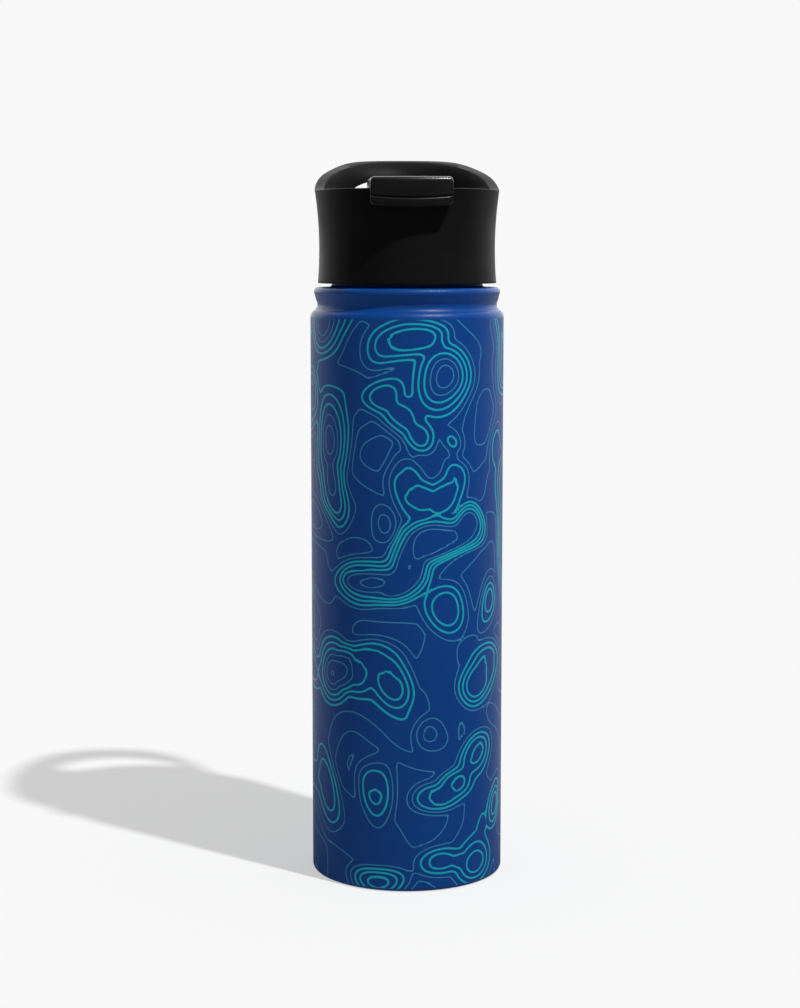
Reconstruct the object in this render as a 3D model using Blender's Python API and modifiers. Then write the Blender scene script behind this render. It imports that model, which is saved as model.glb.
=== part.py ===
"""Insulated steel water bottle with a screw lid, a carry loop and a flip-up drinking tab.

Metres, +Z up. The origin is on the bottle's axis, at the surface it stands on. The front, with the
flip tab, faces -Y, and the carry loop is at the back, +Y.
"""

from math import asin, cos, degrees, hypot, pi, radians, sin

import bmesh
import bpy
from mathutils import Matrix

MM = 0.001
GAP = 0.3 * MM  # between pieces that touch
ROUND_STEPS = 40
FINE_MERGE = 0.00001

# Bottle body
BODY_RADIUS = 36.5 * MM
STEEL = 0.6 * MM
FOOT_RADIUS = 1.5 * MM
FOOT_INNER_RADIUS = 33.2 * MM
SHOULDER_Z = 212.6 * MM
SHOULDER_RADIUS = 3.2 * MM
WAIST_RADIUS = 33.9 * MM
WAIST_Z = 217.4 * MM
BEAD_Z = 222.2 * MM
BEAD_RADIUS = 35.1 * MM
BEAD_ROUND = 1.7 * MM
NECK_RADIUS = 28.4 * MM
NECK_TOP = 235.7 * MM
LINER_RADIUS = 33.0 * MM
LINER_FLOOR = 6.0 * MM

# Screw thread, one start, right-handed
THREAD_PITCH = 5.5 * MM
THREAD_START_Z = 227.6 * MM
NECK_THREAD_TURNS = 1.2
LID_THREAD_TURNS = 1.25

# Lid
LID_BOTTOM = 225.4 * MM
LID_WAIST_Z = 238.5 * MM
LID_WAIST_RADIUS = 33.05 * MM
RIM_Z = 260.0 * MM
RIM_RADIUS = 34.65 * MM
LOOP_TOP = 272.7 * MM
LOOP_RADIUS = 41.0 * MM
LOOP_WALL = 3.7 * MM
CUP_RADIUS = 31.0 * MM
CLEAR_OF_LID = 60 * MM
SLEEVE_INNER_RADIUS = 31.8 * MM
FLOOR_Z = 242.0 * MM
FLOOR_THICKNESS = 1.5 * MM

# The rim seen from the side, from its level front to the top of the loop, and half of the finger
# window seen from behind, both in millimetres
RIM_SIDE = (
    (-3, 260.0), (2, 260.9), (8.5, 263.5), (15, 265.9), (21, 267.7), (27, 269.6), (32.5, 271.3), (37, 272.3),
    (41, 272.7),
)
HALF_WINDOW = (
    (20.5, 243.2), (23.8, 244.4), (25.0, 247.6), (25.0, 257.0), (24.2, 260.2), (22.0, 262.3), (14.7, 264.6)
)
WINDOW_TOP = 265.6 * MM

# Deck, spout and vent
DECK_TOP = 255.0 * MM
DECK_WALL = 1.6 * MM
DECK_BACK = 14.0 * MM
SPOUT_Y = -17.5 * MM
SPOUT_BORE = 5.8 * MM
SPOUT_OUTER = 7.0 * MM
SPOUT_TOP = 257.2 * MM
SPOUT_BOTTOM = 228.9 * MM
VENT_Y = -2.5 * MM
VENT_BORE = 1.3 * MM
VENT_OUTER = 2.5 * MM
VENT_BOTTOM = 229.7 * MM

# Flip arm and its hinge
HINGE_Y = 9.5 * MM
HINGE_Z = 258.0 * MM
KNUCKLE_RADIUS = 2.6 * MM
PIN_RADIUS = 1.2 * MM
LUG_RADIUS = 2.8 * MM
LUG_WIDTH = 2.8 * MM
PIN_SHY = 0.2 * MM  # the pin ends this far inside the lugs' outer faces
ARM_WIDTH = 29.8 * MM
ARM_TOP = 264.0 * MM
ARM_UNDER = 259.0 * MM
TAB_FRONT = -38.5 * MM
TAB_BOTTOM = 253.1 * MM
TAB_INNER = -31.5 * MM
TAB_CURVE = 58.0 * MM

# Stoppers under the arm
SPOUT_FLANGE_RADIUS = 8.4 * MM
SPOUT_STOPPER_RADIUS = 5.4 * MM
SPOUT_STOPPER_REACH = 3.2 * MM
VENT_PAD_RADIUS = 2.6 * MM
VENT_TIP_REACH = 0.8 * MM

# Plug under the lid
PLUG_RADIUS = 26.4 * MM
PLUG_BOTTOM = 229.4 * MM
PLUG_WALL = 1.2 * MM
PLUG_FLANGE_RADIUS = 29.9 * MM
PLUG_FLANGE_TOP = FLOOR_Z - FLOOR_THICKNESS - GAP
PLUG_FLANGE_BOTTOM = PLUG_FLANGE_TOP - 1.0 * MM
GASKET_RADIUS = 29.4 * MM
GASKET_EASE = 0.5 * MM


def clear_scene():
    for old in list(bpy.data.objects):
        bpy.data.objects.remove(old, do_unlink=True)


def new_collection(name):
    collection = bpy.data.collections.new(name)
    bpy.context.scene.collection.children.link(collection)
    return collection


clear_scene()
PARTS = new_collection("water_bottle")
CUTTERS = new_collection("cutters")


def new_material(name, colour, roughness, metallic=0.0):
    material = bpy.data.materials.new(name)
    material.use_nodes = True
    shader = material.node_tree.nodes["Principled BSDF"]
    shader.inputs["Base Color"].default_value = (*colour, 1.0)
    shader.inputs["Roughness"].default_value = roughness
    shader.inputs["Metallic"].default_value = metallic
    return material


POWDER_COAT = new_material("blue_powder_coat", (0.01, 0.035, 0.2), 0.5)
BARE_STEEL = new_material("bare_steel", (0.62, 0.61, 0.6), 0.3, 1.0)
GETTER_METAL = new_material("getter_metal", (0.35, 0.35, 0.36), 0.5, 1.0)
SEAL_GLASS = new_material("seal_glass", (0.12, 0.13, 0.14), 0.3)
LID_PLASTIC = new_material("black_lid_plastic", (0.012, 0.012, 0.013), 0.5)
ARM_PLASTIC = new_material("black_arm_plastic", (0.014, 0.014, 0.015), 0.4)
PLUG_PLASTIC = new_material("grey_plug_plastic", (0.08, 0.08, 0.085), 0.5)
SILICONE = new_material("clear_grey_silicone", (0.3, 0.31, 0.32), 0.6)
FOAM = new_material("white_foam", (0.8, 0.79, 0.75), 0.9)


def add_object(name, mesh, material=None):
    """Links a mesh as a sub-part, or as a cutter when it has no material."""
    made = bpy.data.objects.new(name, mesh)
    if material is None:
        made.hide_render = True
        made.display_type = "WIRE"
        CUTTERS.objects.link(made)
    else:
        made.data.materials.append(material)
        PARTS.objects.link(made)
    return made


def shade_round(made, angle=35):
    made.data.shade_smooth()
    made.data.set_sharp_from_angle(angle=radians(angle))


def arc(centre, radius, start, end, steps):
    """Points on an arc, angles in degrees."""
    angles = [radians(start + (end - start) * i / steps) for i in range(steps + 1)]
    return [(centre[0] + radius * cos(a), centre[1] + radius * sin(a)) for a in angles]


def inner_side(outer, thickness):
    """The outline that lies one wall thickness inside an outline that runs down an outer side."""
    inner = []
    last = len(outer) - 1
    for i, (r, z) in enumerate(outer):
        normals = []
        for a, b in ((max(i - 1, 0), max(i, 1)), (min(i, last - 1), min(i + 1, last))):
            dr = outer[b][0] - outer[a][0]
            dz = outer[b][1] - outer[a][1]
            length = hypot(dr, dz)
            normals.append((dz / length, -dr / length))
        nr = normals[0][0] + normals[1][0]
        nz = normals[0][1] + normals[1][1]
        scale = 2 * thickness / (nr * nr + nz * nz)
        inner.append((r + nr * scale, z + nz * scale))
    return inner


def turned(name, outline, material=None, centre=(0.0, 0.0), steps=ROUND_STEPS):
    """A turned solid. The outline runs down the outer side, and is closed unless it ends on the axis."""
    bm = bmesh.new()
    ring = [bm.verts.new((r, 0.0, z)) for r, z in outline]
    for a, b in zip(ring, ring[1:]):
        bm.edges.new((a, b))
    if outline[0][0] > 0.0 or outline[-1][0] > 0.0:
        bm.edges.new((ring[-1], ring[0]))
    mesh = bpy.data.meshes.new(name)
    bm.to_mesh(mesh)
    bm.free()
    made = add_object(name, mesh, material)
    made.location = (centre[0], centre[1], 0.0)
    screw = made.modifiers.new("turn", "SCREW")
    screw.axis = "Z"
    screw.steps = steps
    screw.render_steps = steps
    screw.use_merge_vertices = True
    screw.merge_threshold = FINE_MERGE
    screw.use_smooth_shade = False
    return made


def shell(name, outer, thickness, material):
    """A turned sheet-metal piece, from the outline of its outer side."""
    return turned(name, outer + inner_side(outer, thickness)[::-1], material)


def post(name, radius, bottom, top, centre=(0.0, 0.0), steps=24):
    """A plain cylinder, used to cut and to join."""
    bm = bmesh.new()
    middle = Matrix.Translation((centre[0], centre[1], (bottom + top) / 2))
    bmesh.ops.create_cone(
        bm, cap_ends=True, segments=steps, radius1=radius, radius2=radius, depth=top - bottom, matrix=middle
    )
    mesh = bpy.data.meshes.new(name)
    bm.to_mesh(mesh)
    bm.free()
    return add_object(name, mesh)


def block(name, low, high):
    """A plain box, used to cut and to join."""
    size = [h - l for l, h in zip(low, high)]
    middle = [(l + h) / 2 for l, h in zip(low, high)]
    bm = bmesh.new()
    bmesh.ops.create_cube(bm, size=1.0)
    placing = Matrix.Translation(middle) @ Matrix.Diagonal((*size, 1.0))
    bmesh.ops.transform(bm, matrix=placing, verts=bm.verts)
    mesh = bpy.data.meshes.new(name)
    bm.to_mesh(mesh)
    bm.free()
    return add_object(name, mesh)


def curve_to_mesh(made, material=None):
    """The mesh object of a curve object, with its caps welded on."""
    bpy.context.view_layer.update()
    depsgraph = bpy.context.evaluated_depsgraph_get()
    mesh = bpy.data.meshes.new_from_object(made.evaluated_get(depsgraph))
    mesh.materials.clear()
    bm = bmesh.new()
    bm.from_mesh(mesh)
    bmesh.ops.remove_doubles(bm, verts=bm.verts, dist=FINE_MERGE)
    bm.to_mesh(mesh)
    bm.free()
    name, matrix = made.name, made.matrix_world.copy()
    bpy.data.objects.remove(made)
    result = add_object(name, mesh, material)
    result.matrix_world = matrix
    return result


def plate(name, points, low, high, across, material=None):
    """A flat outline given thickness across X (outline in Y and Z), Y (in X and Z) or Z (in X and Y)."""
    curve = bpy.data.curves.new(name, "CURVE")
    curve.dimensions = "2D"
    curve.fill_mode = "BOTH"
    curve.extrude = (high - low) / 2
    spline = curve.splines.new("POLY")
    spline.points.add(len(points) - 1)
    for point, (u, v) in zip(spline.points, points):
        point.co = (u, v, 0.0, 1.0)
    spline.use_cyclic_u = True
    made = bpy.data.objects.new(name, curve)
    bpy.context.scene.collection.objects.link(made)
    middle = (low + high) / 2
    if across == "X":
        made.rotation_euler = (pi / 2, 0.0, pi / 2)
        made.location = (middle, 0.0, 0.0)
    elif across == "Y":
        made.rotation_euler = (pi / 2, 0.0, 0.0)
        made.location = (0.0, middle, 0.0)
    else:
        made.location = (0.0, 0.0, middle)
    return curve_to_mesh(made, material)


def thread_ridge(name, centre_radius, ridge_radius, start_angle, start_z, turns):
    """A round-backed helical ridge."""
    steps = round(turns * 30)
    curve = bpy.data.curves.new(name, "CURVE")
    curve.dimensions = "3D"
    curve.bevel_depth = ridge_radius
    curve.bevel_resolution = 2
    curve.use_fill_caps = True
    spline = curve.splines.new("POLY")
    spline.points.add(steps)
    for i, point in enumerate(spline.points):
        turn = turns * i / steps
        angle = radians(start_angle) + 2 * pi * turn
        x = centre_radius * cos(angle)
        y = centre_radius * sin(angle)
        point.co = (x, y, start_z + THREAD_PITCH * turn, 1.0)
    made = bpy.data.objects.new(name, curve)
    bpy.context.scene.collection.objects.link(made)
    return curve_to_mesh(made)


def combine(target, tool, operation="DIFFERENCE"):
    boolean = target.modifiers.new(tool.name, "BOOLEAN")
    boolean.operation = operation
    boolean.object = tool
    boolean.solver = "EXACT"


# Bottle


def outer_shell():
    """The powder-coated outer wall, from the rolled foot to the threaded neck."""
    ledge_z = BEAD_Z + BEAD_ROUND
    neck = [(NECK_RADIUS, NECK_TOP), (NECK_RADIUS, ledge_z + 1.3 * MM)]
    neck += [(NECK_RADIUS + 0.3 * MM, ledge_z + 0.5 * MM), (NECK_RADIUS + 1.0 * MM, ledge_z + 0.1 * MM)]
    bead = arc((BEAD_RADIUS - BEAD_ROUND, BEAD_Z), BEAD_ROUND, 80, -30, 5)
    waist = [
        (WAIST_RADIUS + 0.55 * MM, WAIST_Z + 2.6 * MM),
        (WAIST_RADIUS + 0.15 * MM, WAIST_Z + 1.1 * MM),
        (WAIST_RADIUS, WAIST_Z),
        (WAIST_RADIUS + 0.05 * MM, WAIST_Z - 1.1 * MM),
    ]
    shoulder = arc((BODY_RADIUS - SHOULDER_RADIUS, SHOULDER_Z), SHOULDER_RADIUS, 72, 0, 4)
    foot = arc((BODY_RADIUS - FOOT_RADIUS, FOOT_RADIUS), FOOT_RADIUS, 0, -90, 3)
    outline = neck + bead + waist + shoulder + foot + [(FOOT_INNER_RADIUS, 0.0)]
    made = shell("outer_shell", outline, STEEL, POWDER_COAT)
    ridge = thread_ridge(
        "neck_thread", NECK_RADIUS + 0.4 * MM, 0.9 * MM, 0, THREAD_START_Z, NECK_THREAD_TURNS
    )
    combine(made, ridge, "UNION")
    return made


def inner_liner():
    """The inner wall that holds the drink. Its top edge folds out over the neck."""
    lip = NECK_TOP + GAP
    neck_radius = NECK_RADIUS - STEEL - GAP
    step = LINER_RADIUS - neck_radius
    shoulder_top = 221.5 * MM
    shoulder_drop = 12.0 * MM
    shares = [i / 6 for i in range(7)]
    shoulder = [
        (neck_radius + step * (1 - cos(pi * share)) / 2, shoulder_top - shoulder_drop * share)
        for share in shares
    ]
    round_radius = 6.0 * MM
    corner = arc((LINER_RADIUS - round_radius, LINER_FLOOR + round_radius), round_radius, 0, -90, 4)
    outline = [(NECK_RADIUS, lip), (neck_radius, lip)] + shoulder + corner + [(0.0, LINER_FLOOR)]
    return shell("inner_liner", outline, STEEL, BARE_STEEL)


def base_pieces():
    """The vacuum base with its sealed port and getter, and the cover pressed in under it."""
    upper = [(0.0, 2.6), (29.0, 2.6), (30.5, 1.6), (34.9, 1.6)]
    lower = [(34.9, 0.9), (30.8, 0.9), (29.3, 1.9), (0.0, 1.9)]
    turned("base_cover", [(r * MM, z * MM) for r, z in upper + lower], BARE_STEEL)
    upper = [(1.2, 4.9), (5.0, 4.9), (5.8, 3.9), (31.0, 3.9), (33.0, 2.9), (35.3, 2.9)]
    lower = [(35.3, 2.2), (32.7, 2.2), (30.8, 3.2), (5.3, 3.2), (4.6, 4.2), (1.2, 4.2)]
    turned("base_plate", [(r * MM, z * MM) for r, z in upper + lower], BARE_STEEL)
    seal = [(0.0, 3.9), (3.6, 3.9), (4.0, 3.5), (4.0, 3.2), (3.6, 2.95), (0.0, 2.95)]
    turned("vacuum_seal", [(r * MM, z * MM) for r, z in seal], SEAL_GLASS, steps=24)
    getter = [(0.0, 5.6), (4.6, 5.6), (5.0, 5.2), (5.0, 4.2), (0.0, 4.2)]
    off_axis = (18.0 * MM, 0.0)
    turned("getter", [(r * MM, z * MM) for r, z in getter], GETTER_METAL, centre=off_axis, steps=24)


# Lid


def lid_outer_radius(z):
    """The sleeve is waisted and flares to its rim, and above it, at the back only, on into the loop."""
    if z <= RIM_Z:
        share = (z - LID_WAIST_Z) / (RIM_Z - LID_WAIST_Z)
        return LID_WAIST_RADIUS + (RIM_RADIUS - LID_WAIST_RADIUS) * share**2
    rise = (z - RIM_Z) / (LOOP_TOP - RIM_Z)
    steady = 0.8 * MM
    return RIM_RADIUS + steady * rise + (LOOP_RADIUS - RIM_RADIUS - steady) * rise**3


def lid_shell():
    """The lid's outer moulding: sleeve, floor, cup wall and carry loop."""
    over = LOOP_TOP + MM
    flare = [over, 271.3 * MM, 269.5 * MM, 267.0 * MM, 264.0 * MM, RIM_Z]
    sleeve = [254.0 * MM, 248.0 * MM, LID_WAIST_Z, 232.0 * MM, 226.4 * MM]
    inside = [(max(CUP_RADIUS, lid_outer_radius(z) - LOOP_WALL), z) for z in reversed(flare)]
    outside = [(lid_outer_radius(z), z) for z in flare + sleeve]
    bottom = lid_outer_radius(LID_BOTTOM)
    outline = [(0.0, FLOOR_Z), (CUP_RADIUS, FLOOR_Z)] + inside + outside
    outline += [(bottom - 0.1 * MM, LID_BOTTOM + 0.3 * MM), (bottom - 0.5 * MM, LID_BOTTOM)]
    outline += [(SLEEVE_INNER_RADIUS, LID_BOTTOM), (SLEEVE_INNER_RADIUS, FLOOR_Z - FLOOR_THICKNESS)]
    outline += [(0.0, FLOOR_Z - FLOOR_THICKNESS)]
    made = turned("lid_shell", outline, LID_PLASTIC, steps=60)

    far = CLEAR_OF_LID
    rim = [(y * MM, z * MM) for y, z in RIM_SIDE]
    above = [(-far, RIM_Z), *rim, (far, LOOP_TOP), (far, LOOP_TOP + far), (-far, LOOP_TOP + far)]
    combine(made, plate("above_rim", above, -far, far, "X"))

    right = [(x * MM, z * MM) for x, z in HALF_WINDOW]
    window = right + [(0.0, WINDOW_TOP)] + [(-x, z) for x, z in reversed(right)]
    combine(made, plate("finger_window", window, DECK_BACK + 2 * MM, far, "Y"))

    tube_holes(made, FLOOR_Z - 4 * MM, FLOOR_Z + 4 * MM)
    return made


def tube_holes(target, bottom, top):
    """Clears the spout and vent tubes' way through a piece of the lid."""
    for label, radius, y in (("spout", SPOUT_OUTER, SPOUT_Y), ("vent", VENT_OUTER, VENT_Y)):
        hole = post(f"{target.name}_{label}_hole", radius + GAP, bottom, top, centre=(0.0, y))
        combine(target, hole)


def thread_ring():
    """The threaded collar inside the sleeve."""
    outer = SLEEVE_INNER_RADIUS - GAP
    inner = outer - 1.2 * MM
    top = FLOOR_Z - FLOOR_THICKNESS - GAP
    bottom = LID_BOTTOM + 0.6 * MM
    ease = 0.5 * MM
    outline = [(outer, top), (outer, bottom), (inner + ease, bottom), (inner, bottom + ease), (inner, top)]
    made = turned("thread_ring", outline, PLUG_PLASTIC)
    ridge = thread_ridge("lid_thread", inner - 0.2 * MM, 1.0 * MM, -180, THREAD_START_Z, LID_THREAD_TURNS)
    combine(made, ridge, "UNION")
    return made


def deck_outline(radius, back):
    """A disc with its back cut off flat."""
    angle = degrees(asin(back / radius))
    return arc((0.0, 0.0), radius, -180 - angle, angle, 36)


def lid_deck():
    """The raised deck at the front of the cup, with the spout, the vent tube and the hinge lugs."""
    radius = CUP_RADIUS - 0.4 * MM
    bottom = FLOOR_Z + GAP
    made = plate("lid_deck", deck_outline(radius, DECK_BACK), bottom, DECK_TOP, "Z", LID_PLASTIC)
    inside = deck_outline(radius - DECK_WALL, DECK_BACK - DECK_WALL)
    combine(made, plate("deck_hollow", inside, bottom - 5 * MM, DECK_TOP - DECK_WALL, "Z"))

    combine(made, post("spout_tube", SPOUT_OUTER, SPOUT_BOTTOM, SPOUT_TOP, centre=(0.0, SPOUT_Y)), "UNION")
    vent_top = DECK_TOP - 0.5 * MM
    combine(made, post("vent_tube", VENT_OUTER, VENT_BOTTOM, vent_top, centre=(0.0, VENT_Y)), "UNION")
    combine(made, post("spout_bore", SPOUT_BORE, SPOUT_BOTTOM - MM, SPOUT_TOP + MM, centre=(0.0, SPOUT_Y)))
    combine(made, post("vent_bore", VENT_BORE, VENT_BOTTOM - MM, DECK_TOP + MM, centre=(0.0, VENT_Y)))

    lug = [(HINGE_Y + LUG_RADIUS, DECK_TOP - MM), (HINGE_Y + LUG_RADIUS, HINGE_Z)]
    lug += arc((HINGE_Y, HINGE_Z), LUG_RADIUS, 30, 150, 4)
    lug += [(HINGE_Y - LUG_RADIUS, HINGE_Z), (HINGE_Y - LUG_RADIUS, DECK_TOP - MM)]
    inner = ARM_WIDTH / 2 + GAP
    outer = inner + LUG_WIDTH
    for side, low, high in (("left", -outer, -inner), ("right", inner, outer)):
        combine(made, plate(f"{side}_lug", lug, low, high, "X"), "UNION")
    bore = arc((HINGE_Y, HINGE_Z), PIN_RADIUS + GAP, 0, 345, 23)
    combine(made, plate("lug_bore", bore, -30 * MM, 30 * MM, "X"))
    return made


def plug_pieces():
    """The hollow plug that reaches into the neck, its foam filling, and the vent valve."""
    inner = PLUG_RADIUS - PLUG_WALL
    inner_floor = PLUG_BOTTOM + PLUG_WALL
    outline = [(0.0, inner_floor), (inner, inner_floor), (inner, PLUG_FLANGE_TOP)]
    outline += [(PLUG_FLANGE_RADIUS, PLUG_FLANGE_TOP), (PLUG_FLANGE_RADIUS, PLUG_FLANGE_BOTTOM)]
    ease = 0.5 * MM
    outline += [(PLUG_RADIUS, PLUG_FLANGE_BOTTOM), (PLUG_RADIUS, PLUG_BOTTOM + ease)]
    outline += [(PLUG_RADIUS - ease, PLUG_BOTTOM), (0.0, PLUG_BOTTOM)]
    cup = turned("plug_cup", outline, PLUG_PLASTIC)
    tube_holes(cup, PLUG_BOTTOM - MM, inner_floor + MM)

    radius = inner - GAP
    low = inner_floor + GAP
    disc = [(0.0, PLUG_FLANGE_TOP), (radius, PLUG_FLANGE_TOP), (radius, low), (0.0, low)]
    foam = turned("foam_disc", disc, FOAM)
    tube_holes(foam, low - MM, PLUG_FLANGE_TOP + MM)

    stem = VENT_BORE - GAP - 0.2 * MM
    top = PLUG_BOTTOM - GAP
    valve = [(0.0, 232.0 * MM), (stem, 231.6 * MM), (stem, top), (3.6 * MM, top), (3.4 * MM, top - 0.5 * MM)]
    valve += [(2.0 * MM, top - 1.1 * MM), (0.0, top - 1.2 * MM)]
    turned("vent_valve", valve, SILICONE, centre=(0.0, VENT_Y), steps=24)


def neck_gasket():
    """The silicone ring that the lid presses onto the folded lip."""
    low = NECK_TOP + GAP + STEEL + GAP
    high = PLUG_FLANGE_BOTTOM - GAP
    inner = PLUG_RADIUS + GAP
    outer = GASKET_RADIUS
    ease = GASKET_EASE
    outline = [(outer - ease, high), (outer, high - ease), (outer, low + ease), (outer - ease, low)]
    outline += [(inner + ease, low), (inner, low + ease), (inner, high - ease), (inner + ease, high)]
    return turned("neck_gasket", outline, SILICONE)


# Flip arm


def flip_arm():
    """The arm with its thumb tab, which hooks over the front of the rim."""
    back = KNUCKLE_RADIUS * cos(radians(20))
    top = (
        (HINGE_Y - 4.6 * MM, ARM_TOP),
        (-34.0 * MM, ARM_TOP),
        (TAB_FRONT + 1.2 * MM, ARM_TOP - 0.2 * MM),
        (TAB_FRONT + 0.2 * MM, ARM_TOP - 1.4 * MM),
    )
    lip = (
        (TAB_FRONT + 0.2 * MM, TAB_BOTTOM + 3.5 * MM),
        (TAB_FRONT, TAB_BOTTOM + 3.0 * MM),
        (TAB_FRONT, TAB_BOTTOM + 0.8 * MM),
        (TAB_FRONT + 0.7 * MM, TAB_BOTTOM),
        (TAB_INNER, TAB_BOTTOM),
    )
    under = (
        (TAB_INNER, RIM_Z + 0.4 * MM),
        (-26.6 * MM, RIM_Z + 0.4 * MM),
        (-26.0 * MM, ARM_UNDER),
        (HINGE_Y - 4.4 * MM, ARM_UNDER),
    )
    knuckle = arc((HINGE_Y, HINGE_Z), KNUCKLE_RADIUS, -150, 20, 8)
    outline = [(y - HINGE_Y, z - HINGE_Z) for y, z in (*top, *lip, *under, *knuckle)]
    half = ARM_WIDTH / 2
    made = plate("flip_arm", outline[::-1], -half, half, "X", ARM_PLASTIC)
    made.data.transform(made.matrix_world)
    made.matrix_world = Matrix.Translation((0.0, HINGE_Y, HINGE_Z))

    front = post("tab_front_curve", TAB_CURVE, 240 * MM, 280 * MM, (0.0, TAB_FRONT + TAB_CURVE), steps=96)
    combine(made, front, "INTERSECT")
    wall = post("rim_clearance", RIM_RADIUS + 0.6 * MM, 240 * MM, RIM_Z + 0.4 * MM, steps=96)
    behind = (-60 * MM, -27.0 * MM, 200 * MM), (60 * MM, 60 * MM, 300 * MM)
    combine(wall, block("rim_clearance_cut", *behind))
    combine(made, wall)
    bore = arc((HINGE_Y, HINGE_Z), PIN_RADIUS + GAP, 0, 345, 23)
    combine(made, plate("arm_bore", bore, -30 * MM, 30 * MM, "X"))
    rounded = made.modifiers.new("round", "BEVEL")
    rounded.width = 0.7 * MM
    rounded.segments = 2
    rounded.limit_method = "ANGLE"
    rounded.angle_limit = radians(70)
    return made


def stoppers():
    """The silicone stoppers under the arm that close the spout and the vent."""
    high = ARM_UNDER - GAP
    seat = SPOUT_TOP + GAP
    tip = SPOUT_TOP - SPOUT_STOPPER_REACH
    radius = SPOUT_STOPPER_RADIUS
    spout = [(0.0, high), (SPOUT_FLANGE_RADIUS, high), (SPOUT_FLANGE_RADIUS, seat), (radius, seat)]
    spout += [(radius - 0.1 * MM, SPOUT_TOP - 0.7 * MM), (radius - 1.2 * MM, tip), (0.0, tip)]
    turned("spout_stopper", spout, SILICONE, centre=(0.0, SPOUT_Y), steps=32)

    seat = DECK_TOP + GAP
    tip = DECK_TOP - VENT_TIP_REACH
    radius = VENT_BORE - GAP - 0.1 * MM
    vent = [(0.0, high), (VENT_PAD_RADIUS, high), (VENT_PAD_RADIUS, seat), (radius, seat)]
    vent += [(radius - 0.2 * MM, tip), (0.0, tip)]
    turned("vent_stopper", vent, SILICONE, centre=(0.0, VENT_Y), steps=24)


def hinge_pin():
    """The steel pin, along X through the lugs and the arm's knuckle."""
    half = ARM_WIDTH / 2 + GAP + LUG_WIDTH - PIN_SHY
    outline = [(0.0, half), (PIN_RADIUS, half), (PIN_RADIUS, -half), (0.0, -half)]
    made = turned("hinge_pin", outline, BARE_STEEL, steps=16)
    made.location = (0.0, HINGE_Y, HINGE_Z)
    made.rotation_euler = (0.0, pi / 2, 0.0)
    return made


outer_shell()
inner_liner()
base_pieces()
neck_gasket()
lid_shell()
thread_ring()
lid_deck()
plug_pieces()
hinge_pin()
flip_arm()
stoppers()
for part in PARTS.objects:
    shade_round(part)
bpy.context.view_layer.update()
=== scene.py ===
"""The looks of an insulated steel bottle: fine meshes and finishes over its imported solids.

Metres, +Z up. The flip tab faces -Y and the carry loop +Y.
"""

import random
from math import asin, atan2, cos, degrees, exp, hypot, log, pi, radians, sin, sqrt

import bmesh
import bpy
from mathutils import Euler, Matrix, Vector
from mathutils.noise import noise as smooth_noise


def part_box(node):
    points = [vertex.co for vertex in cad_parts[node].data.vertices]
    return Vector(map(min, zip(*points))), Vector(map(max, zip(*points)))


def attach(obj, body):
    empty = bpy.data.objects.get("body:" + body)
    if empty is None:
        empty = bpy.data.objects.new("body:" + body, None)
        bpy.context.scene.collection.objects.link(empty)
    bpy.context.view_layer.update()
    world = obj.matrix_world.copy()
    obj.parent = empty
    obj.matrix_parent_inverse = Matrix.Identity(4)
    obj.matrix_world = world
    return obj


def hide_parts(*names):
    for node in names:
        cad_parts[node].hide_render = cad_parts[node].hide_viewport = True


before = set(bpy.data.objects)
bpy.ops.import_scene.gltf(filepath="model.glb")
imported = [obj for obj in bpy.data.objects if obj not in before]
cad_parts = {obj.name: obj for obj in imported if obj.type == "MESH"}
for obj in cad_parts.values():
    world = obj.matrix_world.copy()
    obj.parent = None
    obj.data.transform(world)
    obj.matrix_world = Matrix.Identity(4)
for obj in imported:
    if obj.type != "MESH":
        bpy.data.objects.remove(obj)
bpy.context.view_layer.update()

MM = 0.001
MERGE = 1e-6
ROUND_STEPS = 180
SHELL_STEPS = 240

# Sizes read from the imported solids
SHELL_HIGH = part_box("outer_shell")[1]
LINER_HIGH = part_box("inner_liner")[1]
LID_LOW, LID_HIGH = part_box("lid_shell")
DECK_LOW, DECK_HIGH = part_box("lid_deck")
RING_LOW, RING_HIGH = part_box("thread_ring")
PLUG_LOW, PLUG_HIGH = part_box("plug_cup")
ARM_LOW, ARM_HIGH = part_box("flip_arm")
PIN_LOW, PIN_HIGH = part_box("hinge_pin")
GASKET_LOW, GASKET_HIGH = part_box("neck_gasket")
STOPPER_LOW, STOPPER_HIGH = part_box("spout_stopper")
VENT_LOW, VENT_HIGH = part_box("vent_stopper")
VALVE_LOW, VALVE_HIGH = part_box("vent_valve")

# Bottle body
BODY_RADIUS = SHELL_HIGH.x
STEEL = 0.6 * MM
SHOULDER_Z = 212.6 * MM
PRINT_TOP = 213.0 * MM
LEDGE_Z = 223.9 * MM
PRINT_RADIUS = 36.5  # in millimetres
MM_PER_DEGREE = PRINT_RADIUS * pi / 180
NECK_RADIUS = 28.4 * MM
THREAD_PITCH = 5.5 * MM
THREAD_START_Z = 227.6 * MM

# Lid
LID_BOTTOM = LID_LOW.z
LOOP_TOP = LID_HIGH.z
LOOP_RADIUS = LID_HIGH.y
LID_WAIST_Z = 238.5 * MM
LID_WAIST_RADIUS = 33.05 * MM
RIM_Z = 260.0 * MM
RIM_RADIUS = 34.65 * MM
CUP_RADIUS = 31.0 * MM
LOOP_WALL = RIM_RADIUS - CUP_RADIUS
FLOOR_Z = 242.0 * MM
SLEEVE_INNER_RADIUS = RING_HIGH.x + 0.3 * MM
WINDOW_LOW_Z = 243.2 * MM
WINDOW_TOP_AT_BACK = 265.6 * MM
WINDOW_HALF_ANGLE = 46.0
WINDOW_SQUARENESS = 3.6

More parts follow.
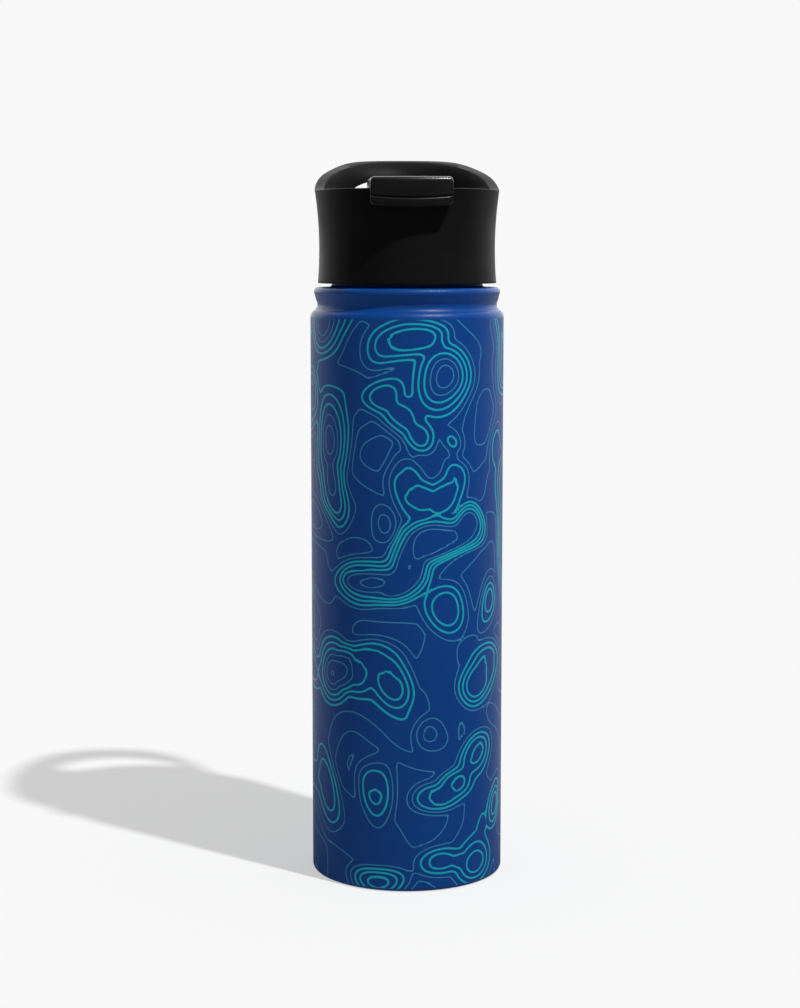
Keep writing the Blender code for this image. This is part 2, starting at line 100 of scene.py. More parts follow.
# Deck and hinge
TUBE_GAP = 0.3 * MM
DECK_TOP = 255.0 * MM
DECK_BACK = 14.0 * MM
DECK_RADIUS = DECK_HIGH.x
SPOUT_Y = (STOPPER_LOW.y + STOPPER_HIGH.y) / 2
VENT_Y = (VENT_LOW.y + VENT_HIGH.y) / 2
SPOUT_BORE = 5.8 * MM
SPOUT_OUTER = 7.0 * MM
SPOUT_TOP = 257.2 * MM
VENT_BORE = 1.3 * MM
VENT_OUTER = 2.5 * MM
VENT_BOTTOM = 229.7 * MM
HINGE_Y = (PIN_LOW.y + PIN_HIGH.y) / 2
HINGE_Z = (PIN_LOW.z + PIN_HIGH.z) / 2
PIN_BORE_RADIUS = 1.35 * MM
KNUCKLE_RADIUS = 2.55 * MM
LUG_RADIUS = 2.8 * MM
LUG_WIDTH = 2.8 * MM
ARM_UNDER = 259.0 * MM
TAB_CORNER = 1.4 * MM
TAB_CURVE = 58.0 * MM  # the radius of the tab's front, seen from above
TAB_INNER = 35.25 * MM  # from the bottle's axis to the back of the tab's lip
TAB_ROOT_Y = -26.3 * MM

# Shader colours, linear
ROYAL_BLUE = (0.0012, 0.041, 0.2)
FINE_INK = (0.03, 0.18, 0.33)
BOLD_INK = (0.006, 0.3, 0.39)
LID_BLACK = (0.005, 0.005, 0.0055)
ARM_BLACK = (0.006, 0.006, 0.0065)
PLUG_GREY = (0.07, 0.07, 0.075)
SEAL_GREY = (0.05, 0.055, 0.06)
STEEL_GREY = (0.6, 0.59, 0.57)
GETTER_GREY = (0.32, 0.31, 0.3)
SILICONE_DARK, SILICONE_LIGHT = (0.24, 0.25, 0.26), (0.34, 0.35, 0.36)
FOAM_WHITE, FOAM_SHADE = (0.82, 0.81, 0.77), (0.6, 0.59, 0.55)


# Mesh helpers


def smoothstep(low, high, value):
    t = min(max((value - low) / (high - low), 0.0), 1.0)
    return t * t * (3.0 - 2.0 * t)


def arc(centre, radius, start, end, steps):
    """Points on an arc, angles in degrees."""
    angles = [radians(start + (end - start) * i / steps) for i in range(steps + 1)]
    return [(centre[0] + radius * cos(a), centre[1] + radius * sin(a)) for a in angles]


def filleted(points, steps=5):
    """An outline whose corners are rounded where a point has a third number, its radius."""
    outline = []
    for i, point in enumerate(points):
        if len(point) < 3:
            outline.append(tuple(point))
            continue
        corner = Vector(point[:2])
        before = (Vector(points[i - 1][:2]) - corner).normalized()
        after = (Vector(points[(i + 1) % len(points)][:2]) - corner).normalized()
        half = before.angle(after) / 2
        centre = corner + (before + after).normalized() * point[2] / sin(half)
        reach = point[2] / (sin(half) / cos(half))
        start = corner + before * reach - centre
        end = corner + after * reach - centre
        for j in range(steps + 1):
            spoke = start.slerp(end, j / steps)
            outline.append(tuple(centre + spoke * point[2]))
    return outline


def inner_side(outer, thickness):
    """The outline that lies one wall thickness inside an outline that runs down an outer side."""
    inner = []
    last = len(outer) - 1
    for i, (r, z) in enumerate(outer):
        a, b = outer[max(i - 1, 0)], outer[min(i + 1, last)]
        dr, dz = b[0] - a[0], b[1] - a[1]
        length = hypot(dr, dz)
        inner.append((r + thickness * dz / length, z - thickness * dr / length))
    return inner


def finer(outline, low, high, step):
    """The outline with points added along its upright runs between two heights."""
    result = [outline[0]]
    for (r0, z0), (r1, z1) in zip(outline, outline[1:]):
        if low <= min(z0, z1) and max(z0, z1) <= high and abs(z1 - z0) > step:
            parts = int(abs(z1 - z0) / step) + 1
            for i in range(1, parts):
                result.append((r0 + (r1 - r0) * i / parts, z0 + (z1 - z0) * i / parts))
        result.append((r1, z1))
    return result


def lathe(outline, closed=False, steps=ROUND_STEPS):
    """Spins an outline round Z."""
    bm = bmesh.new()
    ring = [bm.verts.new((r, 0.0, z)) for r, z in outline]
    pairs = list(zip(ring, ring[1:]))
    if closed:
        pairs.append((ring[-1], ring[0]))
    edges = [bm.edges.new(pair) for pair in pairs]
    bmesh.ops.spin(
        bm, geom=ring + edges, cent=(0, 0, 0), axis=(0, 0, 1), dvec=(0, 0, 0),
        angle=2 * pi, steps=steps, use_merge=True, use_duplicate=False,
    )
    bmesh.ops.remove_doubles(bm, verts=bm.verts, dist=MERGE)
    bmesh.ops.recalc_face_normals(bm, faces=bm.faces)
    return bm


def moved(bm, offset):
    """Shifts a shape."""
    bmesh.ops.translate(bm, vec=Vector(offset), verts=bm.verts)
    return bm


def bevel(bm, edges, width, segments=4):
    """Rounds edges."""
    bmesh.ops.bevel(
        bm, geom=edges, offset=width, offset_type="OFFSET", affect="EDGES", segments=segments,
        profile=0.5, material=-1, clamp_overlap=True,
    )


def sharp_edges(bm, angle=40.0):
    limit = radians(angle)
    return [e for e in bm.edges if len(e.link_faces) == 2 and e.calc_face_angle() > limit]


def prism(points, places):
    """An outline in Y and Z drawn out along X, with a row of edges at each place."""
    bm = bmesh.new()
    face = bm.faces.new([bm.verts.new((places[0], y, z)) for y, z in points])
    for before, here in zip(places, places[1:]):
        made = bmesh.ops.extrude_face_region(bm, geom=[face], use_keep_orig=before == places[0])
        front = [item for item in made["geom"] if isinstance(item, bmesh.types.BMVert)]
        bmesh.ops.translate(bm, vec=(here - before, 0, 0), verts=front)
        face = next(item for item in made["geom"] if isinstance(item, bmesh.types.BMFace))
    bmesh.ops.recalc_face_normals(bm, faces=bm.faces)
    return bm


def new_object(name, bm):
    mesh = bpy.data.meshes.new(name)
    bm.to_mesh(mesh)
    bm.free()
    made = bpy.data.objects.new(name, mesh)
    bpy.context.scene.collection.objects.link(made)
    return made


def combined(bm, tool, operation):
    """Cuts one shape with another, or joins them."""
    target = new_object("target", bm)
    cutter = new_object("cutter", tool)
    boolean = target.modifiers.new("boolean", "BOOLEAN")
    boolean.operation = operation
    boolean.object = cutter
    boolean.solver = "EXACT"
    bpy.context.view_layer.update()
    depsgraph = bpy.context.evaluated_depsgraph_get()
    mesh = bpy.data.meshes.new_from_object(target.evaluated_get(depsgraph))
    result = bmesh.new()
    result.from_mesh(mesh)
    bpy.data.meshes.remove(mesh)
    for old in (target, cutter):
        bpy.data.objects.remove(old)
    bmesh.ops.remove_doubles(result, verts=result.verts, dist=MERGE)
    return result


def finish_piece(name, bm, material, body, nodes, crease=38.0):
    """Turns a shape into a finished piece that rides on its body and stands in for its nodes."""
    made = new_object(name, bm)
    made.data.materials.append(material)
    made.data.shade_smooth()
    made.data.set_sharp_from_angle(angle=radians(crease))
    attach(made, body)
    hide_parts(*nodes)
    return made


# Shader helpers


def add_node(tree, kind, inputs=None, **settings):
    """A node with its settings, and its inputs set to values or linked to outputs."""
    made = tree.nodes.new(kind)
    for key, value in settings.items():
        setattr(made, key, value)
    for key, value in (inputs or {}).items():
        if isinstance(value, bpy.types.NodeSocket):
            tree.links.new(value, made.inputs[key])
        else:
            made.inputs[key].default_value = value
    return made


def maths(tree, operation, *values):
    """A number worked out from others."""
    made = add_node(tree, "ShaderNodeMath", dict(enumerate(values)), operation=operation)
    return made.outputs[0]


def vectors(tree, operation, *values):
    """A vector, or its length or product, worked out from others."""
    made = add_node(tree, "ShaderNodeVectorMath", dict(enumerate(values)), operation=operation)
    return made.outputs["Value"] if operation in ("DOT_PRODUCT", "LENGTH") else made.outputs[0]


def ramp(tree, value, low, high, to_low=0.0, to_high=1.0):
    """A smooth step from one value to another."""
    made = add_node(
        tree, "ShaderNodeMapRange",
        {"Value": value, "From Min": low, "From Max": high, "To Min": to_low, "To Max": to_high},
        interpolation_type="SMOOTHSTEP",
    )
    return made.outputs["Result"]


def mixed(tree, factor, first, second):
    """Blends two colours."""
    made = tree.nodes.new("ShaderNodeMix")
    made.data_type = "RGBA"
    for socket, value in ((made.inputs[0], factor), (made.inputs[6], first), (made.inputs[7], second)):
        if isinstance(value, bpy.types.NodeSocket):
            tree.links.new(value, socket)
        else:
            socket.default_value = value if socket == made.inputs[0] else (*value, 1.0)
    return made.outputs[2]


def noise(tree, vector, scale, detail=2.0, roughness=0.5):
    """A noise texture of about one swell in 1 / scale metres."""
    return add_node(
        tree, "ShaderNodeTexNoise",
        {"Vector": vector, "Scale": scale, "Detail": detail, "Roughness": roughness},
    )


def new_group(name, inputs, outputs):
    """A shader node group. inputs and outputs are (name, kind, default) and (name, kind)."""
    tree = bpy.data.node_groups.new(name, "ShaderNodeTree")
    for label, kind, default in inputs:
        socket = tree.interface.new_socket(name=label, in_out="INPUT", socket_type=kind)
        if default is not None:
            socket.default_value = default
    for label, kind in outputs:
        tree.interface.new_socket(name=label, in_out="OUTPUT", socket_type=kind)
    return tree, tree.nodes.new("NodeGroupInput"), tree.nodes.new("NodeGroupOutput")


def new_material(name, metallic=0.0, specular=0.5):
    """A material, its node tree, its shader, and the point being shaded in the object's own frame."""
    material = bpy.data.materials.new(name)
    material.use_nodes = True
    tree = material.node_tree
    shader = tree.nodes["Principled BSDF"]
    shader.inputs["Metallic"].default_value = metallic
    shader.inputs["Specular IOR Level"].default_value = specular
    place = tree.nodes.new("ShaderNodeTexCoord").outputs["Object"]
    return material, tree, shader, place


def use_group(tree, group, inputs):
    """Places a node group, with its inputs set to values or linked to outputs."""
    made = tree.nodes.new("ShaderNodeGroup")
    made.node_tree = group
    for key, value in inputs.items():
        if isinstance(value, bpy.types.NodeSocket):
            tree.links.new(value, made.inputs[key])
        else:
            made.inputs[key].default_value = value
    return made


# Contour-line print: mesas drawn as a map's height lines. Each mesa is its height in lines, where its
# slope starts and ends, and its rounded patches: (angle from the front in degrees, height above the
# foot, half width, half height, tilt), in millimetres.

FRONT_MESAS = (
    (4.7, 0.1, 1.5, ((20, 190.5, 10.5, 12.0, -25),)),
    (2.7, 0.5, 2.2, ((-13, 203.5, 7.0, 4.0, 10), (3, 207.0, 8.0, 4.2, 12))),
    (4.9, 0.3, 2.5, ((-57, 212.0, 7.0, 7.0, 0),)),
    (4.9, 0.15, 2.6, ((-55, 167.0, 5.5, 9.0, 5),)),
    (3.0, 0.5, 2.3, ((-17, 184.0, 5.0, 5.0, 0), (-7, 176.0, 5.5, 4.5, 0), (3, 169.0, 4.5, 3.8, 0))),
    (1.9, 0.2, 1.9, ((27, 168.0, 3.6, 3.6, 0),)),
    (2.7, 0.6, 2.0, ((-6, 154.0, 4.5, 7.5, 18),)),
    (2.4, 0.5, 2.0, ((14, 150.0, 6.0, 4.5, 0), (25, 156.0, 5.0, 5.0, 0))),
    (5.6, 0.2, 2.2, ((76, 192.0, 8.0, 8.0, 0),)),
    (3.4, 0.4, 2.0, ((68, 211.0, 5.0, 8.0, 0),)),
    (2.6, 0.3, 2.0, ((66, 168.0, 4.5, 8.0, -8),)),
    (2.6, 0.4, 2.1, ((-50, 146.0, 4.5, 7.0, 8),)),
    (-2.6, 0.3, 2.2, ((-70, 136.0, 7.0, 5.0, 0),)),
    (-1.9, 0.3, 2.4, ((-17, 139.0, 3.0, 3.0, 0),)),
    (3.7, 0.7, 2.1, (
        (-29, 118.0, 7.0, 6.0, 15), (-14, 117.0, 6.0, 4.5, 0), (-2, 125.0, 5.5, 7.0, 0),
        (10, 134.0, 7.0, 5.0, 0), (26, 133.0, 8.0, 4.0, 0), (37, 139.0, 4.0, 4.5, 30),
    )),
    (1.3, 0.5, 1.3, ((-27, 117.5, 8.0, 4.0, 8),)),
    (3.6, 0.6, 2.2, ((21, 106.0, 6.0, 6.5, 30),)),
    (3.5, 0.25, 2.1, ((53, 108.0, 3.8, 7.0, 0),)),
    (5.6, 0.4, 1.7, ((90, 132.0, 12.0, 24.0, 0),)),
    (4.7, 0.15, 2.3, ((-52, 83.0, 5.5, 7.0, -10),)),
    (2.9, 0.6, 2.2, ((-32, 84.0, 5.5, 6.0, 0), (-20, 89.0, 6.0, 4.5, 0), (-11, 82.0, 4.5, 7.0, 0))),
    (3.6, 0.6, 2.1, ((42, 77.0, 5.5, 4.5, 0), (56, 82.0, 7.5, 6.0, 0))),
    (-2.4, 0.2, 2.6, ((9, 60.0, 3.4, 3.6, 0),)),
    (3.8, 0.5, 2.2, ((-20, 39.0, 5.0, 8.0, 5),)),
    (3.6, 0.6, 2.2, ((15, 36.0, 6.0, 3.8, 0), (28, 41.0, 5.0, 4.0, 15), (43, 51.0, 6.0, 5.5, 30))),
    (3.6, 0.3, 2.2, ((64, 30.0, 4.0, 6.0, -15),)),
    (3.6, 0.4, 2.2, ((-62, 37.0, 5.5, 10.0, 8),)),
    (2.5, 0.5, 2.1, ((14, 11.0, 6.5, 4.0, 0),)),
    (3.5, 0.4, 2.0, ((-20, 5.0, 8.0, 4.5, 0),)),
    (2.8, 0.4, 2.0, ((44, 8.0, 7.0, 6.0, -20),)),
)


# How far noise pushes the mesas about and lifts the land between them, and the size of its swells in
# millimetres
SWAY, SWAY_SIZE = 4.0, 23.0
ROLL, ROLL_SIZE = 3.4, 30.0
NOISE_SHIFT = Vector((5.1, 2.2, 8.4))
FAR_OUT = 50.0  # a patch adds almost nothing past the square root of this, in half widths
DOME = 0.3  # how far a mesa's top swells above its edge, in lines
FIELD = 0.5  # the level of the open land, half way between two lines


def back_mesas():
    """Mesas for the side away from the front, one in each cell of a loose grid."""
    draw = random.Random(7)
    mesas = []
    for row in range(9):
        for column in range(5):
            angle = 106 + column * 36 + (row % 2) * 16 + draw.uniform(-7, 7)
            height = 8 + row * 25 + draw.uniform(-5, 5)
            width, tall = draw.uniform(4.5, 8), draw.uniform(4.5, 8)
            patches = [(angle, height, width, tall, draw.uniform(-40, 40))]
            if draw.random() < 0.45:
                patches.append((angle + draw.uniform(9, 15), height + draw.uniform(-8, 8), 5.5, 5.5, 0))
            rise = draw.choice((2.3, 3.3, 3.4, 4.3))
            start = draw.choice((0.3, 0.6, 0.75))
            mesas.append((rise, start, start + 0.48 * rise, patches))
    return mesas


def even_slope(share):
    """Rises from 0 to 1 with an even slope between two eased ends."""
    ease = 0.22
    if share < ease:
        return share * share / (2.0 * ease * (1.0 - ease))
    if share > 1.0 - ease:
        return 1.0 - (1.0 - share) ** 2 / (2.0 * ease * (1.0 - ease))
    return (share - ease / 2.0) / (1.0 - ease)


def drift(spot, size, layer):
    """Smooth noise, the same at every run, with swells of about a given size in millimetres."""
    shift = NOISE_SHIFT + Vector((31.7, 12.9, 5.3)) * layer
    return smooth_noise(spot / size + shift, noise_basis="PERLIN_NEW")


def land_height(angle, height, mesas):
    """The height of the imagined land on the bottle's side, in steps between contour lines."""
    turn = radians(angle)
    spot = Vector((sin(turn) * PRINT_RADIUS, -cos(turn) * PRINT_RADIUS, height))
    along = SWAY * drift(spot, SWAY_SIZE, 0)
    height += SWAY * drift(spot, SWAY_SIZE, 1)
    total = FIELD + ROLL * drift(spot, ROLL_SIZE, 2)
    for low, high, rise, start, end, patches in mesas:
        if not low < height < high:
            continue
        cover = 0.0
        for patch_angle, patch_height, width, tall, tilt_cos, tilt_sin in patches:
            up = height - patch_height
            side = ((angle - patch_angle + 540.0) % 360.0 - 180.0) * MM_PER_DEGREE + along
            u = (side * tilt_cos + up * tilt_sin) / width
            v = (up * tilt_cos - side * tilt_sin) / tall
            cover += exp(-min(u * u + v * v, FAR_OUT))
        reach = sqrt(max(-log(cover), 0.0))
        if reach < end:
            share = max((reach - start) / (end - start), 0.0)
            total += rise * (1.0 - even_slope(share))
            total += DOME * max(1.0 - reach, 0.0) ** 2
    return total


def laid_out(mesas):
    """The mesas with the heights they can reach and the turns of their patches worked out."""
    ready = []
    for rise, start, end, patches in mesas:
        turned = [(*patch[:4], cos(radians(patch[4])), sin(radians(patch[4]))) for patch in patches]
        spread = max(max(patch[2:4]) for patch in patches) * (end + 0.6)
        middles = [patch[1] for patch in patches]
        ready.append((min(middles) - spread, max(middles) + spread, rise, start, end, turned))
    return ready


def survey_land(mesh):
    """Stores the land's height and slope at each vertex of the straight side, for the print to read."""
    mesas = laid_out([*FRONT_MESAS, *back_mesas()])
    heights, slopes = [], []
    step = 0.3
    for vert in mesh.vertices:
        x, y, z = vert.co
        if hypot(x, y) < BODY_RADIUS - 0.1 * MM or z > PRINT_TOP + MM:
            heights.append(FIELD)
            slopes.append(0.0)
            continue
        angle = degrees(atan2(x, -y))
        here = land_height(angle, z / MM, mesas)
        across = (land_height(angle + step / MM_PER_DEGREE, z / MM, mesas) - here) / step
        up = (land_height(angle, z / MM + step, mesas) - here) / step
        heights.append(here)
        slopes.append(hypot(across, up) / MM)
    for label, values in (("land_height", heights), ("land_slope", slopes)):
        stored = mesh.attributes.new(label, "FLOAT", "POINT")
        stored.data.foreach_set("value", values)


def contour_lines():
    """Masks for the bold and the fine contour lines, each of an even width over the surface."""
    tree, start, end = new_group(
        "contour_lines",
        [
            ("Height", "NodeSocketFloat", 0.5),
            ("Slope", "NodeSocketFloat", 100.0),
            ("Bold Width", "NodeSocketFloat", 0.9 * MM),
            ("Fine Width", "NodeSocketFloat", 0.45 * MM),
        ],
        [("Bold", "NodeSocketFloat"), ("Fine", "NodeSocketFloat")],
    )
    here = start.outputs["Height"]
    least_slope = 25.0
    slope = maths(tree, "MAXIMUM", start.outputs["Slope"], least_slope)
    level = maths(tree, "ROUND", here)
    away = maths(tree, "DIVIDE", maths(tree, "ABSOLUTE", maths(tree, "SUBTRACT", here, level)), slope)
    middle_bold, either_side = 3.0, 1.1
    is_bold = maths(tree, "COMPARE", level, middle_bold, either_side)
    edge = 0.1 * MM
    for label, kind in (("Bold", is_bold), ("Fine", maths(tree, "SUBTRACT", 1.0, is_bold))):
        half = maths(tree, "MULTIPLY", start.outputs[f"{label} Width"], 0.5)
        drawn = add_node(
            tree, "ShaderNodeMapRange",
            {
                "Value": away,
                "From Min": maths(tree, "SUBTRACT", half, edge),
                "From Max": maths(tree, "ADD", half, edge),
                "To Min": 1.0,
                "To Max": 0.0,
            },
        ).outputs["Result"]
        tree.links.new(maths(tree, "MULTIPLY", drawn, kind), end.inputs[label])
    return tree


def grain_group():
    """Fine bumps, as of a cured powder or a spark-eroded mould, and a soft mottle."""
    tree, start, end = new_group(
        "surface_grain",
        [
            ("Point", "NodeSocketVector", None),
            ("Grain Size", "NodeSocketFloat", 0.5 * MM),
            ("Depth", "NodeSocketFloat", 0.02 * MM),
            ("Mottle Size", "NodeSocketFloat", 12 * MM),
        ],
        [("Mottle", "NodeSocketFloat"), ("Grain", "NodeSocketFloat"), ("Normal", "NodeSocketVector")],
    )
    point = start.outputs["Point"]
    fine = noise(tree, point, maths(tree, "DIVIDE", 1.0, start.outputs["Grain Size"]), detail=1.5)
    broad = noise(tree, point, maths(tree, "DIVIDE", 1.0, start.outputs["Mottle Size"]), detail=3.0)
    bump = add_node(
        tree, "ShaderNodeBump",
        {"Strength": 1.0, "Distance": start.outputs["Depth"], "Height": fine.outputs["Fac"]},
    )
    tree.links.new(broad.outputs["Fac"], end.inputs["Mottle"])
    tree.links.new(fine.outputs["Fac"], end.inputs["Grain"])
    tree.links.new(bump.outputs[0], end.inputs["Normal"])
    return tree


def painted_highlight_group():
    """Convex edges painted lighter in broken patches: a painted highlight along the edges."""
    tree, start, end = new_group(
        "painted_edge_highlight",
        [("Point", "NodeSocketVector", None), ("Reach", "NodeSocketFloat", 0.5)],
        [("Painted Highlight", "NodeSocketFloat")],
    )
    geometry = tree.nodes.new("ShaderNodeNewGeometry")
    edge = ramp(tree, geometry.outputs["Pointiness"], 0.505, 0.56)
    patches = noise(tree, start.outputs["Point"], 260.0, detail=3.0)
    broken = ramp(tree, patches.outputs["Fac"], 0.42, 0.62)
    highlight_strength = maths(tree, "MULTIPLY", maths(tree, "MULTIPLY", edge, broken), start.outputs["Reach"])
    tree.links.new(highlight_strength, end.inputs["Painted Highlight"])
    return tree


GRAIN = grain_group()
PAINTED_HIGHLIGHT = painted_highlight_group()
CONTOURS = contour_lines()


def shade(colour, amount):
    return tuple(channel * amount for channel in colour)


def powder_coat():
    """Royal-blue powder coat with the contour lines printed on the straight side."""
    material, tree, shader, place = new_material("blue_powder_coat", specular=0.15)
    grain = use_group(
        tree, GRAIN,
        {"Point": place, "Grain Size": 0.55 * MM, "Depth": 0.035 * MM, "Mottle Size": 30 * MM},
    )
    base = mixed(tree, grain.outputs["Mottle"], shade(ROYAL_BLUE, 0.88), shade(ROYAL_BLUE, 1.12))
    land = {
        label: add_node(tree, "ShaderNodeAttribute", attribute_name=name).outputs["Fac"]
        for label, name in (("Height", "land_height"), ("Slope", "land_slope"))
    }
    lines = use_group(tree, CONTOURS, {**land, "Bold Width": 0.74 * MM, "Fine Width": 0.42 * MM})
    height = add_node(tree, "ShaderNodeSeparateXYZ", {0: place}).outputs["Z"]
    printed = ramp(tree, height, PRINT_TOP, PRINT_TOP - 0.6 * MM)
    fine = maths(tree, "MULTIPLY", lines.outputs["Fine"], printed)
    bold = maths(tree, "MULTIPLY", lines.outputs["Bold"], printed)
    base = mixed(tree, fine, base, FINE_INK)
    base = mixed(tree, bold, base, BOLD_INK)
    tree.links.new(base, shader.inputs["Base Color"])
    ink = maths(tree, "MAXIMUM", fine, bold)
    rough = ramp(tree, grain.outputs["Grain"], 0.3, 0.7, 0.32, 0.45)
    rough = maths(tree, "MULTIPLY_ADD", ink, -0.06, rough)
    tree.links.new(rough, shader.inputs["Roughness"])
    tree.links.new(grain.outputs["Normal"], shader.inputs["Normal"])
    return material


def moulded_plastic(name, colour, roughness, grain_size, depth, specular, highlight_strength=0.0):
    """A moulded plastic with a fine texture, and its convex edges painted paler: a painted highlight."""
    material, tree, shader, place = new_material(name, specular=specular)
    grain = use_group(
        tree, GRAIN, {"Point": place, "Grain Size": grain_size, "Depth": depth, "Mottle Size": 14 * MM}
    )
    base = mixed(tree, grain.outputs["Mottle"], shade(colour, 0.8), shade(colour, 1.25))
    highlit_edge = use_group(tree, PAINTED_HIGHLIGHT, {"Point": place, "Reach": highlight_strength})
    # The convex edges are painted paler here: a painted highlight.
    base = mixed(tree, highlit_edge.outputs["Painted Highlight"], base, tuple(channel * 2.5 + 0.02 for channel in colour))
    tree.links.new(base, shader.inputs["Base Color"])
    rough = ramp(tree, grain.outputs["Mottle"], 0.25, 0.75, roughness - 0.04, roughness + 0.05)
    tree.links.new(rough, shader.inputs["Roughness"])
    tree.links.new(grain.outputs["Normal"], shader.inputs["Normal"])
    return material


def brushed_steel(name, stretch, colour=STEEL_GREY, roughness=0.28):
    """Bare stainless steel, with the fine marks that turning and brushing leave."""
    material, tree, shader, place = new_material(name, metallic=1.0)
    along = add_node(tree, "ShaderNodeMapping", {"Vector": place, "Scale": stretch}).outputs[0]
    marks = noise(tree, along, 1.0, detail=4.0, roughness=0.6)
    cloud = noise(tree, place, 45.0, detail=3.0)
    base = mixed(tree, marks.outputs["Fac"], shade(colour, 0.86), shade(colour, 1.1))
    base = mixed(tree, ramp(tree, cloud.outputs["Fac"], 0.4, 0.75, 0.0, 0.3), base, shade(colour, 0.8))
    tree.links.new(base, shader.inputs["Base Color"])
    rough = ramp(tree, marks.outputs["Fac"], 0.3, 0.7, roughness - 0.06, roughness + 0.12)
    tree.links.new(rough, shader.inputs["Roughness"])
    bump = add_node(
        tree, "ShaderNodeBump", {"Strength": 0.35, "Distance": 0.01 * MM, "Height": marks.outputs["Fac"]}
    )
    tree.links.new(bump.outputs[0], shader.inputs["Normal"])
    return material


def silicone():
    """Soft grey silicone that lets a little light through."""
    material, tree, shader, place = new_material("grey_silicone", specular=0.4)
    grain = use_group(
        tree, GRAIN, {"Point": place, "Grain Size": 0.4 * MM, "Depth": 0.01 * MM, "Mottle Size": 6 * MM}
    )
    base = mixed(tree, grain.outputs["Mottle"], SILICONE_DARK, SILICONE_LIGHT)
    tree.links.new(base, shader.inputs["Base Color"])
    rough = ramp(tree, grain.outputs["Mottle"], 0.3, 0.7, 0.5, 0.66)
    tree.links.new(rough, shader.inputs["Roughness"])
    tree.links.new(grain.outputs["Normal"], shader.inputs["Normal"])
    shader.inputs["Subsurface Weight"].default_value = 0.08
    shader.inputs["Subsurface Scale"].default_value = 1.5 * MM
    return material


def foam():
    """White closed-cell foam."""
    material, tree, shader, place = new_material("white_foam", specular=0.3)
    cells = add_node(tree, "ShaderNodeTexVoronoi", {"Vector": place, "Scale": 1100.0})
    base = mixed(tree, cells.outputs["Distance"], FOAM_WHITE, FOAM_SHADE)
    tree.links.new(base, shader.inputs["Base Color"])
    bump = add_node(
        tree, "ShaderNodeBump",
        {"Strength": 0.8, "Distance": 0.2 * MM, "Height": cells.outputs["Distance"]},
    )
    tree.links.new(bump.outputs[0], shader.inputs["Normal"])
    shader.inputs["Roughness"].default_value = 0.85
    return material


POWDER_COAT = powder_coat()
# name, colour, roughness, grain size, grain depth, specular, strength of the painted edge highlight
LID_PLASTIC = moulded_plastic("matte_black_lid", LID_BLACK, 0.5, 0.35 * MM, 0.012 * MM, 0.07, 0.25)
ARM_PLASTIC = moulded_plastic("satin_black_arm", ARM_BLACK, 0.33, 0.45 * MM, 0.05 * MM, 0.42, 0.25)
DECK_PLASTIC = moulded_plastic("black_deck", ARM_BLACK, 0.45, 0.35 * MM, 0.01 * MM, 0.2, 0.2)
PLUG_PLASTIC = moulded_plastic("grey_plug", PLUG_GREY, 0.42, 0.4 * MM, 0.008 * MM, 0.4, 0.2)
SEAL_GLASS = moulded_plastic("dark_seal_glass", SEAL_GREY, 0.18, 2.0 * MM, 0.01 * MM, 0.6)
STEEL_FINISH = brushed_steel("brushed_steel", (40, 40, 2200))
BASE_STEEL = brushed_steel("spun_steel", (300, 300, 300), roughness=0.32)
GETTER_METAL = brushed_steel("sintered_getter", (900, 900, 900), GETTER_GREY, 0.55)
SILICONE = silicone()
FOAM = foam()


# Bottle


def thread_swell(x, y, z, start_z, turns, start_angle):
    """From 0 to 1, how far a point on the neck is up the back of the screw thread."""
    angle = (degrees(atan2(y, x)) - start_angle) % 360.0
    best = 0.0
    for lap in (0, 1):
        turn = angle / 360.0 + lap
        if turn > turns:
            continue
        away = abs(z - start_z - THREAD_PITCH * turn) / (1.15 * MM)
        ends = smoothstep(0.0, 0.06, turn) * smoothstep(turns, turns - 0.06, turn)
        best = max(best, (cos(min(away, 1.0) * pi) * 0.5 + 0.5) * ends)
    return best


def build_outer_shell():
    """The outer steel wall, from its screw thread to its rolled foot."""
    neck = [
        (NECK_RADIUS, SHELL_HIGH.z - 0.05 * MM),
        (NECK_RADIUS, LEDGE_Z + 1.4 * MM),
        (NECK_RADIUS + 0.1 * MM, LEDGE_Z + 0.8 * MM),
        (NECK_RADIUS + 0.4 * MM, LEDGE_Z + 0.3 * MM),
        (NECK_RADIUS + 1.0 * MM, LEDGE_Z + 0.05 * MM),
    ]
    neck = finer(neck, 0.0, SHELL_HIGH.z, 0.3 * MM)
    bead = arc((33.4 * MM, 222.2 * MM), 1.7 * MM, 84, -34, 14)
    waist = arc((36.6 * MM, 217.5 * MM), 2.75 * MM, 146, 216, 10)
    shoulder = arc((BODY_RADIUS - 3.2 * MM, SHOULDER_Z), 3.2 * MM, 66, 0, 12)
    foot = arc((BODY_RADIUS - 1.5 * MM, 1.5 * MM), 1.5 * MM, 0, -90, 8) + [(33.2 * MM, 0.0)]
    top = neck + bead + waist + shoulder
    inner = inner_side(top + foot, STEEL)
    rows = 210
    side = [(BODY_RADIUS, SHOULDER_Z + (1.5 * MM - SHOULDER_Z) * i / rows) for i in range(1, rows)]
    bm = lathe(top + side + foot + inner[::-1], closed=True, steps=SHELL_STEPS)
    for vert in bm.verts:
        x, y, z = vert.co
        radius = hypot(x, y)
        if z > LEDGE_Z + 1.0 * MM and radius > NECK_RADIUS - 0.2 * MM:
            swell = 1.25 * MM * thread_swell(x, y, z, THREAD_START_Z, 1.2, 0.0)
            vert.co.x *= 1 + swell / radius
            vert.co.y *= 1 + swell / radius
    shell = finish_piece(
        "painted_steel_shell", bm, POWDER_COAT, "bottle", ["outer_shell"], 50
    )
    survey_land(shell.data)


